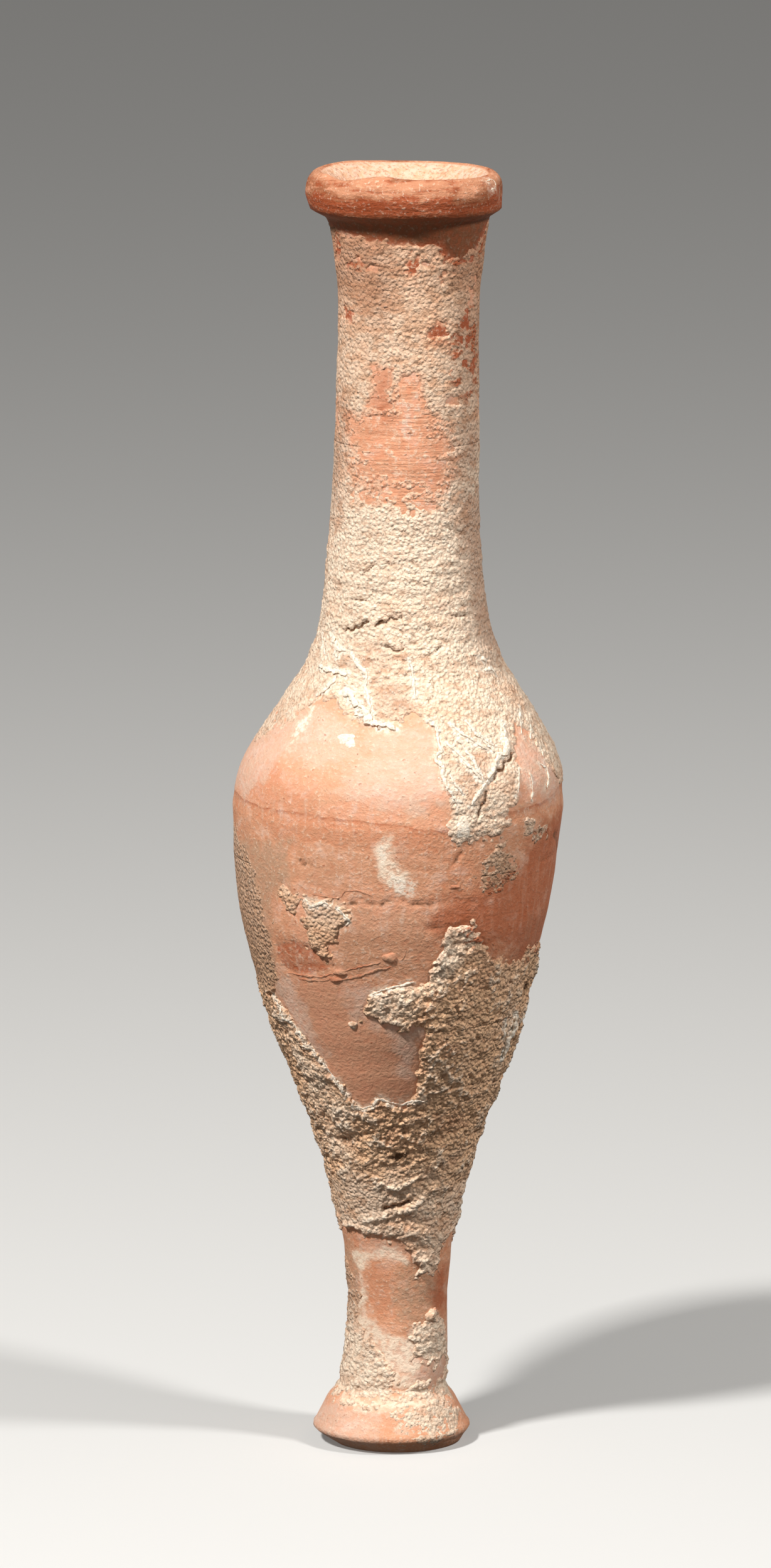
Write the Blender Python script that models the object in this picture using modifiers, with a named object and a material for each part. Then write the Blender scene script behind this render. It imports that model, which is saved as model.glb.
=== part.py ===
"""Spindle-shaped terracotta oil flask, thrown on a wheel as one hollow piece.

Metres, +Z up. The origin is the centre of the flat resting face, and the front looks along -Y.
"""

import math

import bpy
import numpy as np

MM = 0.001

# Lengths of the turned sections, from the resting face upwards
FOOT_HEIGHT = 8.3 * MM
STEM_LENGTH = 28.2 * MM
BELLY_LENGTH = 54.5 * MM
SHOULDER_LENGTH = 26.0 * MM
NECK_LENGTH = 57.3 * MM
LIP_HEIGHT = 5.2 * MM

# Outer radii
RESTING_RADIUS = 8.9 * MM
FOOT_RADIUS = 11.1 * MM
LEDGE_RADIUS = 9.0 * MM
STEM_BASE_RADIUS = 7.4 * MM
STEM_RADIUS = 6.95 * MM
BELLY_FOOT_RADIUS = 9.25 * MM
BODY_RADIUS = 23.1 * MM
NECK_BASE_RADIUS = 11.45 * MM
NECK_RADIUS = 9.6 * MM
NECK_TOP_RADIUS = 11.3 * MM
LIP_EDGE_RADIUS = 13.2 * MM
LIP_RADIUS = 13.7 * MM
CREST_RADIUS = 11.9 * MM

# Foot: a bevel up to the widest edge, a flare up to a small ledge, then the stem
FOOT_EDGE_HEIGHT = 2.2 * MM
FOOT_EDGE_ROUNDING = 0.6 * MM
LEDGE_HEIGHT = 6.3 * MM
LEDGE_DEPTH = 0.9 * MM
FLARE_HOLLOW = 0.2 * MM

# Stem and neck are narrowest part of the way up, as a share of their own length
STEM_WAIST_SHARE = 0.38
NECK_WAIST_SHARE = 0.68
UNDERCUT_HEIGHT = 1.0 * MM

# Walls and the hollow
NECK_WALL = 3.1 * MM
BODY_WALL = 3.4 * MM
FLOOR_ABOVE_STEM = 0.5 * MM
FLOOR_ROUNDING_LENGTH = 16.0 * MM
MOUTH_DEPTH = 12.0 * MM
CREST_THICKNESS = 0.9 * MM

# Curves between two named radii: (share of the length, share of the change in radius)
STEM_FLARE = ((0.26, 0.08), (0.51, 0.26), (0.74, 0.53))
BELLY_SWELL = ((0.16, 0.18), (0.32, 0.42), (0.55, 0.71), (0.79, 0.93))
SHOULDER_FALL = ((0.19, 0.06), (0.40, 0.285), (0.60, 0.59), (0.79, 0.85))
NECK_TAPER = ((0.28, 0.64), (0.64, 0.87))
NECK_SPREAD = ((0.34, 0.04), (0.63, 0.28), (0.88, 0.60))
MOUTH_FLARE = ((0.45, 0.10), (0.75, 0.38), (0.92, 0.70))

# How far the thrower's centre line strays sideways: (share of the full height, offset)
AXIS_DRIFT = (
    (0.000, 0.00 * MM),
    (0.012, -0.75 * MM),
    (0.035, -0.75 * MM),
    (0.080, 0.00 * MM),
    (0.300, 0.10 * MM),
    (0.395, -0.50 * MM),
    (0.505, 0.10 * MM),
    (0.620, 1.05 * MM),
    (0.705, 0.95 * MM),
    (0.800, 1.35 * MM),
    (0.880, 1.55 * MM),
    (0.955, 1.55 * MM),
    (0.980, 1.00 * MM),
    (1.000, 1.00 * MM),
)

# Rises and dips of the worn lip: (angle from the front towards +X, half width, height)
LIP_WEAR = (
    (-45.0, 12.0, -0.60 * MM),
    (-14.0, 10.0, 0.35 * MM),
    (62.0, 50.0, -0.30 * MM),
    (-135.0, 25.0, 0.25 * MM),
)

# The chipped right side of the lip is flattened back to this distance from the lip's centre
LIP_CHIP_ANGLE = 84.0
LIP_CHIP_DISTANCE = 13.2 * MM

# Thick soil crust: (angle, share of the full height, half width, half height, thickness)
CRUST = (
    (18.0, 0.355, 26.0, 7.0 * MM, 0.55 * MM),
    (62.0, 0.520, 20.0, 6.0 * MM, 0.45 * MM),
    (48.0, 0.415, 17.0, 4.5 * MM, 0.40 * MM),
    (-38.0, 0.620, 22.0, 4.5 * MM, 0.40 * MM),
    (25.0, 0.045, 40.0, 5.0 * MM, 0.35 * MM),
    (160.0, 0.460, 45.0, 12.0 * MM, 0.45 * MM),
)

# Fineness of the facets
TURN_STEPS = 48
LONG_CURVE_STEPS = 9
SHORT_CURVE_STEPS = 5
ARC_STEPS = 4

STEM_TOP = FOOT_HEIGHT + STEM_LENGTH
STEM_WAIST = FOOT_HEIGHT + STEM_WAIST_SHARE * STEM_LENGTH
BODY_HEIGHT = STEM_TOP + BELLY_LENGTH
NECK_BASE = BODY_HEIGHT + SHOULDER_LENGTH
NECK_WAIST = NECK_BASE + NECK_WAIST_SHARE * NECK_LENGTH
LIP_BASE = NECK_BASE + NECK_LENGTH
NECK_TOP = LIP_BASE - UNDERCUT_HEIGHT
CREST_HEIGHT = LIP_BASE + LIP_HEIGHT


def smooth_value(stations, places):
    """Values at some places of a curve through stations, which never overshoots a station."""
    at, value = np.array(stations, float).T
    gaps = np.diff(at)
    rises = np.diff(value) / gaps
    pairs = zip(rises[:-1], rises[1:])
    middle = [2 * a * b / (a + b) if a * b > 0 else 0.0 for a, b in pairs]
    slopes = np.array([rises[0], *middle, rises[-1]])
    span = np.clip(np.searchsorted(at, places, side="right") - 1, 0, len(gaps) - 1)
    t = np.clip((places - at[span]) / gaps[span], 0.0, 1.0)
    return (
        (1 + 2 * t) * (1 - t) ** 2 * value[span]
        + t**2 * (3 - 2 * t) * value[span + 1]
        + t * (1 - t) ** 2 * gaps[span] * slopes[span]
        - t**2 * (1 - t) * gaps[span] * slopes[span + 1]
    )


def smooth_curve(stations, steps):
    """(radius, height) points, evenly spaced in height, of a curve through its stations."""
    heights = np.linspace(stations[0][0], stations[-1][0], steps + 1)
    return list(zip(smooth_value(stations, heights), heights))


def stations_between(low, high, low_radius, high_radius, shares):
    """(height, radius) stations of a section, its two ends included."""
    inner = [
        (low + (high - low) * along, low_radius + (high_radius - low_radius) * across)
        for along, across in shares
    ]
    return [(low, low_radius), *inner, (high, high_radius)]


def foot_outline():
    """Foot from the resting face up to the stem: bevel, rounded edge, flare and ledge."""
    rounding = [
        (
            FOOT_RADIUS - FOOT_EDGE_ROUNDING * (1 - math.cos(turn)),
            FOOT_EDGE_HEIGHT + FOOT_EDGE_ROUNDING * math.sin(turn),
        )
        for turn in np.linspace(-math.pi / 3, math.pi / 3, ARC_STEPS)
    ]
    rounding_top = FOOT_EDGE_HEIGHT + FOOT_EDGE_ROUNDING
    flare_middle = (
        (FOOT_RADIUS + LEDGE_RADIUS) / 2 - FLARE_HOLLOW,
        (rounding_top + LEDGE_HEIGHT) / 2,
    )
    ledge_inside = (LEDGE_RADIUS - LEDGE_DEPTH, (LEDGE_HEIGHT + FOOT_HEIGHT) / 2)
    return [
        (RESTING_RADIUS, 0.0),
        *rounding,
        flare_middle,
        (LEDGE_RADIUS, LEDGE_HEIGHT),
        ledge_inside,
        (STEM_BASE_RADIUS, FOOT_HEIGHT),
    ]


def stem_to_neck_outline():
    """The long outline above the foot: stem, belly, shoulder and neck, up to the undercut."""
    stem = stations_between(STEM_WAIST, STEM_TOP, STEM_RADIUS, BELLY_FOOT_RADIUS, STEM_FLARE)
    belly = stations_between(
        STEM_TOP, BODY_HEIGHT, BELLY_FOOT_RADIUS, BODY_RADIUS, BELLY_SWELL
    )
    shoulder = stations_between(
        BODY_HEIGHT, NECK_BASE, BODY_RADIUS, NECK_BASE_RADIUS, SHOULDER_FALL
    )
    neck = stations_between(NECK_BASE, NECK_WAIST, NECK_BASE_RADIUS, NECK_RADIUS, NECK_TAPER)
    throat = stations_between(NECK_WAIST, NECK_TOP, NECK_RADIUS, NECK_TOP_RADIUS, NECK_SPREAD)
    return (
        [(STEM_RADIUS, STEM_WAIST)]
        + smooth_curve(stem + belly[1:], 2 * LONG_CURVE_STEPS)[1:]
        + smooth_curve(shoulder + neck[1:], 2 * LONG_CURVE_STEPS)[1:]
        + smooth_curve(throat, SHORT_CURVE_STEPS)[1:]
    )


def lip_outline():
    """Lip from its sharp lower edge up over the swollen face to the crest."""
    face_height = LIP_BASE + 0.4 * LIP_HEIGHT
    face = [
        (
            CREST_RADIUS + (LIP_RADIUS - CREST_RADIUS) * math.cos(turn),
            face_height + (CREST_HEIGHT - face_height) * math.sin(turn),
        )
        for turn in np.linspace(0, math.pi / 2, ARC_STEPS + 1)
    ]
    return [(LIP_EDGE_RADIUS, LIP_BASE), *face]


def hollow_outline():
    """Inside wall, from the cavity's rounded floor up to the inner side of the crest."""
    radii, heights = np.array(stem_to_neck_outline()).T
    bore_radius = NECK_RADIUS - NECK_WALL
    mouth_floor = CREST_HEIGHT - MOUTH_DEPTH
    floor = STEM_TOP + FLOOR_ABOVE_STEM
    rounding_top = floor + FLOOR_ROUNDING_LENGTH
    wall = np.interp(heights, [BODY_HEIGHT, NECK_BASE], [BODY_WALL, NECK_WALL])
    inside = np.where(heights < NECK_WAIST, radii - wall, bore_radius)
    straight = heights[(heights > rounding_top) & (heights < mouth_floor)]
    turns = np.linspace(0, math.pi / 2, 2 * ARC_STEPS)
    floor_heights = rounding_top - FLOOR_ROUNDING_LENGTH * np.cos(turns)
    floor_radii = np.interp(floor_heights, heights, inside) * np.sin(turns)
    crest_inside = CREST_RADIUS - CREST_THICKNESS
    funnel_top = CREST_HEIGHT - CREST_THICKNESS / 2
    funnel = stations_between(mouth_floor, funnel_top, bore_radius, crest_inside, MOUTH_FLARE)
    return (
        list(zip(floor_radii, floor_heights))
        + list(zip(np.interp(straight, heights, inside), straight))
        + smooth_curve(funnel, SHORT_CURVE_STEPS)
    )


def turned_mesh(points):
    """A (radius, height) profile turned about Z, as a mesh."""
    profile = bpy.data.meshes.new("profile")
    vertices = [(radius, 0.0, height) for radius, height in points]
    edges = [(i, i + 1) for i in range(len(points) - 1)]
    profile.from_pydata(vertices, edges, [])
    lathe = bpy.data.objects.new("lathe", profile)
    bpy.context.scene.collection.objects.link(lathe)
    screw = lathe.modifiers.new("turn", "SCREW")
    screw.axis = "Z"
    screw.angle = math.tau
    screw.steps = TURN_STEPS
    screw.render_steps = TURN_STEPS
    screw.use_merge_vertices = True
    screw.merge_threshold = 0.00001
    graph = bpy.context.evaluated_depsgraph_get()
    mesh = bpy.data.meshes.new_from_object(lathe.evaluated_get(graph))
    bpy.data.objects.remove(lathe)
    return mesh


def bell(angle, place, half_width):
    """1 at a place round the vessel, falling off smoothly on both sides, in degrees."""
    away = (angle - place + 180.0) % 360.0 - 180.0
    return math.exp(-((away / half_width) ** 2))


def crust_thickness(angle, height):
    """How far the soil crust stands off the clay at an angle and a height."""
    return sum(
        thickness
        * bell(angle, place, half_width)
        * math.exp(-(((height - share * CREST_HEIGHT) / half_height) ** 2))
        for place, share, half_width, half_height, thickness in CRUST
    )


def hand_made(point):
    """A turned point of the outside or inside, moved to where the hand and wear left it."""
    x, y, z = point
    angle = math.degrees(math.atan2(x, -y))
    lip_share = max(0.0, (z - LIP_BASE) / LIP_HEIGHT)
    if lip_share > 0:
        chip = math.radians(LIP_CHIP_ANGLE)
        spare = max(0.0, x * math.sin(chip) - y * math.cos(chip) - LIP_CHIP_DISTANCE)
        x -= spare * math.sin(chip)
        y += spare * math.cos(chip)
    drift = float(smooth_value(AXIS_DRIFT, np.array([z / CREST_HEIGHT]))[0])
    rise = sum(height * bell(angle, place, width) for place, width, height in LIP_WEAR)
    return x + drift, y, z + lip_share * rise


def add_crust(mesh, outside_radius):
    """Pushes the outside out by the crust's thickness, and leaves the hollow alone."""
    for vertex in mesh.vertices:
        x, y, z = vertex.co
        radius = math.hypot(x, y)
        if z < FOOT_EDGE_HEIGHT or radius < outside_radius(z) - 0.5 * NECK_WALL:
            continue
        scale = 1 + crust_thickness(math.degrees(math.atan2(x, -y)), z) / radius
        vertex.co = (x * scale, y * scale, z)


def terracotta():
    """Fired orange clay under a thin pale skin of lime and soil."""
    material = bpy.data.materials.new("terracotta")
    material.use_nodes = True
    shader = material.node_tree.nodes["Principled BSDF"]
    shader.inputs["Base Color"].default_value = (0.53, 0.30, 0.18, 1.0)
    shader.inputs["Roughness"].default_value = 0.88
    shader.inputs["Metallic"].default_value = 0.0
    return material


def build():
    for old in list(bpy.data.objects):
        bpy.data.objects.remove(old)
    collection = bpy.data.collections.new("oil_flask")
    bpy.context.scene.collection.children.link(collection)

    outside = foot_outline() + stem_to_neck_outline() + lip_outline()
    radii, heights = np.array(outside).T
    mesh = turned_mesh(hollow_outline() + outside[::-1] + [(0.0, 0.0)])
    mesh.name = "vessel"
    add_crust(mesh, lambda z: np.interp(z, heights, radii))
    for vertex in mesh.vertices:
        vertex.co = hand_made(vertex.co)
    mesh.shade_smooth()
    mesh.set_sharp_from_angle(angle=math.radians(35))
    mesh.materials.append(terracotta())
    collection.objects.link(bpy.data.objects.new("vessel", mesh))


build()
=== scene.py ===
"""The looks of a spindle-shaped terracotta oil flask: worn clay, remains of red slip, soil crust and lime.

Lengths inside the script are millimetres, angles are degrees from the front towards +X, and heights run
up from the resting face. Only the properties, the finished meshes, the lights and the camera are in metres.
"""

import math

import bpy
import numpy as np
from mathutils import Color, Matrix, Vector


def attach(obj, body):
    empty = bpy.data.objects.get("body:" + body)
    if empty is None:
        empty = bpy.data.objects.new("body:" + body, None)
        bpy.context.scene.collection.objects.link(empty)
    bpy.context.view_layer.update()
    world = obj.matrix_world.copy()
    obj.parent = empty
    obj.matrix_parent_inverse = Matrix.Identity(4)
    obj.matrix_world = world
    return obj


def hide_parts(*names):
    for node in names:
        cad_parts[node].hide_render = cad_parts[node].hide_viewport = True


bl_info = {
    "name": "Spindle Oil Flask",
    "version": (1, 0, 0),
    "blender": (4, 5, 0),
    "location": "3D View > Sidebar > Flask",
    "description": "Finishes a thrown terracotta oil flask with worn slip, soil crust and lime",
    "category": "Object",
}

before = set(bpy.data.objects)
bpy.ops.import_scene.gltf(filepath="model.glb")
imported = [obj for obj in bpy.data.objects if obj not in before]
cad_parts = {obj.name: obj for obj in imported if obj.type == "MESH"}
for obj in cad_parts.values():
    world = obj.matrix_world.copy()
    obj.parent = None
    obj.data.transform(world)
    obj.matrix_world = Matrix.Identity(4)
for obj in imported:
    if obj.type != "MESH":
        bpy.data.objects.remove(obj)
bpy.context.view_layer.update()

MM = 0.001

# Lengths of the turned sections, from the resting face upwards
FOOT_HEIGHT = 8.3
STEM_LENGTH = 28.2
BELLY_LENGTH = 54.5
SHOULDER_LENGTH = 26.0
NECK_LENGTH = 57.3
LIP_HEIGHT = 5.2

# Outer radii
RESTING_RADIUS = 8.9
FOOT_RADIUS = 11.1
LEDGE_RADIUS = 9.0
STEM_BASE_RADIUS = 7.4
STEM_RADIUS = 6.95
BELLY_FOOT_RADIUS = 9.25
BODY_RADIUS = 23.1
NECK_BASE_RADIUS = 11.45
NECK_RADIUS = 9.6
NECK_TOP_RADIUS = 11.3
LIP_EDGE_RADIUS = 13.2
LIP_RADIUS = 13.7
CREST_RADIUS = 11.9

# Share of the lip's height where it is widest
LIP_FACE_SHARE = 0.4

# Foot, waists and undercut
FOOT_EDGE_HEIGHT = 2.2
FOOT_EDGE_ROUNDING = 0.6
LEDGE_HEIGHT = 6.3
LEDGE_DEPTH = 0.9
FLARE_HOLLOW = 0.2
STEM_WAIST_SHARE = 0.38
NECK_WAIST_SHARE = 0.68
UNDERCUT_HEIGHT = 1.0

# Walls and the hollow
NECK_WALL = 3.1
BODY_WALL = 3.4
FLOOR_ABOVE_STEM = 0.5
FLOOR_ROUNDING_LENGTH = 16.0
MOUTH_DEPTH = 12.0
CREST_THICKNESS = 0.9

# Curves between two named radii: (share of the length, share of the change in radius)
STEM_FLARE = ((0.26, 0.08), (0.51, 0.26), (0.74, 0.53))
BELLY_SWELL = ((0.16, 0.18), (0.32, 0.42), (0.55, 0.71), (0.79, 0.93))
SHOULDER_FALL = ((0.19, 0.06), (0.40, 0.285), (0.60, 0.59), (0.79, 0.85))
NECK_TAPER = ((0.28, 0.64), (0.64, 0.87))
NECK_SPREAD = ((0.34, 0.04), (0.63, 0.28), (0.88, 0.60))
MOUTH_FLARE = ((0.45, 0.10), (0.75, 0.38), (0.92, 0.70))

# The centre line's sideways drift: (share of the full height, offset)
AXIS_DRIFT = (
    (0.000, 0.00),
    (0.012, -0.75),
    (0.035, -0.75),
    (0.080, 0.00),
    (0.300, 0.10),
    (0.395, -0.50),
    (0.505, 0.10),
    (0.620, 1.05),
    (0.705, 0.95),
    (0.800, 1.35),
    (0.880, 1.55),
    (0.955, 1.55),
    (0.980, 1.00),
    (1.000, 1.00),
)

# Rises and dips of the worn lip: (angle, half width, height)
LIP_WEAR = (
    (-45.0, 12.0, -0.60),
    (-14.0, 10.0, 0.35),
    (62.0, 50.0, -0.30),
    (-135.0, 25.0, 0.25),
)
LIP_CHIP_ANGLE = 84.0
LIP_CHIP_DISTANCE = 13.2

# Broad swells of the thickest crust: (angle, share of the height, half width, half height, thickness)
CRUST_SWELLS = (
    (18.0, 0.355, 26.0, 7.0, 0.55),
    (62.0, 0.520, 20.0, 6.0, 0.45),
    (48.0, 0.415, 17.0, 4.5, 0.40),
    (-38.0, 0.620, 22.0, 4.5, 0.40),
    (25.0, 0.045, 40.0, 5.0, 0.35),
    (160.0, 0.460, 45.0, 12.0, 0.45),
)

STEM_TOP = FOOT_HEIGHT + STEM_LENGTH
STEM_WAIST = FOOT_HEIGHT + STEM_WAIST_SHARE * STEM_LENGTH
BODY_HEIGHT = STEM_TOP + BELLY_LENGTH
NECK_BASE = BODY_HEIGHT + SHOULDER_LENGTH
NECK_WAIST = NECK_BASE + NECK_WAIST_SHARE * NECK_LENGTH
LIP_BASE = NECK_BASE + NECK_LENGTH
NECK_TOP = LIP_BASE - UNDERCUT_HEIGHT
CREST_HEIGHT = LIP_BASE + LIP_HEIGHT

# Lower edge of the crust on neck and shoulder: (angle, height)
UPPER_CRUST_EDGE = (
    (-180, 98), (-140, 95.5), (-115, 97.5), (-100, 99.5), (-84, 101), (-70, 102), (-60, 104),
    (-55, 105.6), (-51, 106.8), (-36, 107.4), (-24, 105.2), (-12, 104.6), (-3, 105.4), (4, 106.7),
    (11, 105.2), (14.5, 103.5), (15.2, 99.5), (17, 96), (18.5, 91.6), (20.5, 88.8), (26, 89.2),
    (35, 89.3), (39.5, 90.8), (41.5, 93), (45, 95), (48, 98.6), (51, 101.4), (58, 103.6), (63, 102.6),
    (67, 98.6), (72, 95.4), (80, 94.4), (96, 96), (125, 99.5), (150, 96), (180, 98),
)

# Upper edge of the neck's crust, below which dark red slip is bare under the lip and dark soil is painted,
# partly real slip and soil and partly the lip's painted shadow
UNDER_LIP_EDGE = (
    (-180, 172.8), (-90, 172.2), (-60, 171.4), (-38, 171), (-15, 170.6), (8, 170.2), (22, 170.4),
    (30, 168.3), (38, 167.6), (50, 167.8), (60, 168.6), (68, 170.4), (76, 171.8), (95, 172.6),
    (180, 172.8),
)

# Upper and lower edge of the thick crust on the lower belly, and upper edge of the crust above the foot
BELLY_CRUST_EDGE = (
    (-180, 63), (-150, 67), (-120, 61), (-95, 67), (-80, 66.6), (-68, 65.6), (-61, 64.6), (-52, 61.1),
    (-46, 58.4), (-37, 55.1), (-29, 52.2), (-23.5, 50.1), (-15, 50.4), (-11, 51.6), (0, 50.8),
    (8, 52), (10, 54), (12, 60), (14.5, 68), (17, 75), (20, 76.8), (29, 77.3), (32, 75.8), (37, 73.6),
    (45, 71.3), (54, 70.5), (66, 72), (80, 71), (97, 69), (125, 73), (150, 66), (180, 63),
)
STEM_CRUST_EDGE = (
    (-180, 30), (-120, 27), (-90, 30.6), (-61, 31), (-49, 31.5), (-35, 30.8), (-13, 30.4), (-5, 29.7),
    (13, 28.6), (24, 25.2), (43, 24.4), (52, 26.1), (60, 29.4), (75, 31), (105, 28), (180, 30),
)
FOOT_CRUST_EDGE = (
    (-180, 14), (-120, 15.5), (-90, 17), (-60, 16.8), (-38, 16), (-20, 14.6), (-10, 13), (-4, 10.6),
    (8, 9.4), (30, 9.2), (60, 9.6), (90, 12), (140, 13), (180, 14),
)

# Areas of the crust: where it lies, is worn through, smooth or thin, and where it is tan or pale. Four
# numbers are an oval: angle, height, half width and half height. Pairs are the (angle, height) corners of
# a patch.
CRUST_AREAS = (
    ((24, 61), (20, 62.1), (10, 63.1), (6, 61.9), (-3.5, 63.4), (-14.5, 64.1), (-13.5, 65.9), (-9, 67.4),
     (1, 68.7), (7.5, 69.3), (13, 69.6), (16, 72), (24, 72)),
    ((-36, 81.2), (-29, 80.4), (-22.5, 81.3), (-16, 79.9), (-16, 78.4), (-22, 75.7), (-24, 71.8),
     (-33.5, 73.9), (-35.5, 77.7)),
    ((-47, 81.6), (-40, 81.8), (-37, 80.3), (-39, 78.6), (-46, 79.9)),
    ((31, 86.4), (36, 88.2), (41, 87.8), (47, 84.8), (48.5, 82.4), (38, 81.8), (28, 82.8)),
    ((46, 91.5), (54, 91.5), (56, 90.1), (63, 89.8), (63, 88.4), (55, 88.1), (48, 88.9)),
    ((-95, 27), (-72, 26.4), (-58, 24.6), (-50, 22), (-52, 18.4), (-46, 14), (-95, 14)),
    ((14, 16), (24, 18), (47, 19.2), (62, 18), (76, 15), (74, 12), (40, 11.4), (18, 12.6)),
    ((2, 6.8), (30, 6.5), (66, 6.7), (76, 4.4), (60, 2.2), (36, 1.5), (20, 2.6), (12, 1.9), (2, 3.4)),
    ((-30, 6.9), (-8, 6.9), (-14, 6.2), (-26, 6.3)),
    ((-112, 89), (-80, 88.5), (-66, 86), (-57, 80), (-54, 74), (-56, 68), (-62, 65), (-112, 65)),
    (-150, 84, 6, 4),
    (118, 84.5, 5, 3),
    (-112, 21, 4, 5),
    (172, 5, 7, 3),
)
WINDOW_AREAS = (
    ((-52, 145.4), (-40, 145), (-27, 147), (-12, 146.8), (-4, 151.8), (7, 152), (12, 147.6), (25, 143.8),
     (27, 141), (32, 138.4), (20, 136.4), (4, 137.2), (-10, 137.4), (-22, 138.6), (-30, 137.6), (-40, 139.4),
     (-33, 141.4), (-46, 142.6)),
    ((-28, 153), (-15, 153), (-18, 146.6), (-26, 146.6)),
)
WORN_AREAS = (
    (-71, 169.6, 0.9, 1.2),
    (-55, 167.6, 1.6, 0.3),
    (-60, 159.9, 1, 0.5),
    (27, 158.3, 1, 0.75),
    (32, 157.4, 0.6, 0.6),
    (52, 158.8, 0.8, 1.3),
    (60, 157, 0.7, 0.9),
    (68, 153, 0.6, 1),
    (54, 153.4, 0.6, 0.4),
    (62, 162.4, 0.6, 0.8),
    (3, 167.4, 0.25, 0.6),
    (47, 156.6, 0.6, 0.5),
    (41, 148.4, 0.7, 0.5),
    (-19, 135.4, 2, 0.45),
    (12, 134.2, 1.7, 0.55),
    (86, 147, 1, 2),
    (-84, 146, 1.2, 2),
    (130, 144, 4, 6),
    (-128, 160, 3, 3),
)
SMOOTH_AREAS = (
    ((-38, 82.4), (-14, 82), (-16, 76.4), (-24, 74.6), (-36, 74.6)),
    ((-114, 92), (-72, 91.5), (-56, 85), (-49, 76), (-53, 66.5), (-114, 66.5)),
    ((-70, 39), (-31, 38.6), (-15, 37.3), (-14, 34.9), (-33, 32.4), (-53, 31.6), (-75, 33)),
    ((-13, 40.9), (9, 41), (9, 39.4), (-1, 38.2), (-12, 39.1)),
    ((-18.5, 110.3), (-1.5, 110), (3.5, 106.9), (-12.5, 106.2)),
    ((-64, 172), (-16, 171), (-10, 164), (-24, 159), (-60, 163)),
    ((13, 104.6), (17, 97), (24, 92.6), (30, 95), (44, 99.6), (51, 103.6), (38, 106.6), (20, 106.6)),
)
THIN_AREAS = (
    ((-112, 91), (-80, 91), (-62, 88), (-52, 81), (-50, 74), (-52, 67.4), (-66, 66), (-112, 67)),
    ((-40, 8), (90, 8), (90, 0), (-40, 0)),
    ((-112, 28), (-40, 28), (-40, 16), (-112, 16)),
    ((-115, 106), (-62, 106), (-56, 104), (-66, 97), (-115, 96)),
    ((27, 88.6), (44, 88.6), (44, 92.5), (68, 92.5), (68, 87.6), (50, 80.5), (27, 80.5)),
)
# Where the crust's outline is frayed twice as far
FRAYED_AREAS = (
    ((25, 92), (110, 92), (110, 60), (45, 60), (25, 80)),
    ((-112, 92), (-50, 92), (-46, 68), (-112, 68)),
    ((-38, 83), (-14, 83), (-20, 72), (-36, 74)),
    ((16, 170), (82, 170), (82, 163), (16, 163)),
    ((-115, 107), (-60, 107), (-54, 103), (-66, 97), (-115, 96)),
)
TAN_AREAS = (
    ((-95, 174), (-14, 174), (-10, 167), (-22, 159), (-60, 162), (-95, 160)),
    ((-14, 174), (95, 174), (95, 163), (60, 163), (40, 165), (22, 169), (4, 171)),
    (72, 156, 4, 8),
    (60, 142, 3, 4),
    (-72, 140, 3, 8),
    (-20, 113, 3, 1.6),
    ((-18.5, 110.3), (-1.5, 110), (3.5, 106.9), (-12.5, 106.2)),
    ((45, 136), (110, 136), (110, 112), (56, 112)),
    (30, 98.8, 2.2, 1.2),
)
PALE_AREAS = (
    ((19.5, 93.8), (26, 93.6), (27, 92.4), (24, 91), (21.5, 89), (19.5, 89.4), (18.6, 91.5)),
    ((38, 104.6), (50, 104.4), (48.5, 100.8), (44, 99.6), (37, 100), (36, 102)),
    (-44, 122.6, 1.6, 1.3),
    (-54, 114.4, 3, 1.8),
    (-60, 124, 4, 5),
    (50, 117, 6, 4),
    ((15, 77), (28, 77.6), (31, 75.5), (24, 70), (16, 66), (6, 63), (-4, 63.4), (-15, 64), (-14, 66),
     (-8, 67.8), (1, 69), (12, 70)),
    ((-60, 62), (-40, 55), (-30, 50), (-26, 44), (-44, 40), (-62, 44)),
    ((14, 19), (48, 19), (74, 15), (74, 9), (14, 9)),
    ((-23, 129), (20, 129), (45, 121), (20, 116), (-20, 119), (-52, 118), (-50, 127)),
    (22, 22, 2, 4),
    (26, 33, 2, 3),
    (64, 59, 1.6, 4.6),
)

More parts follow.
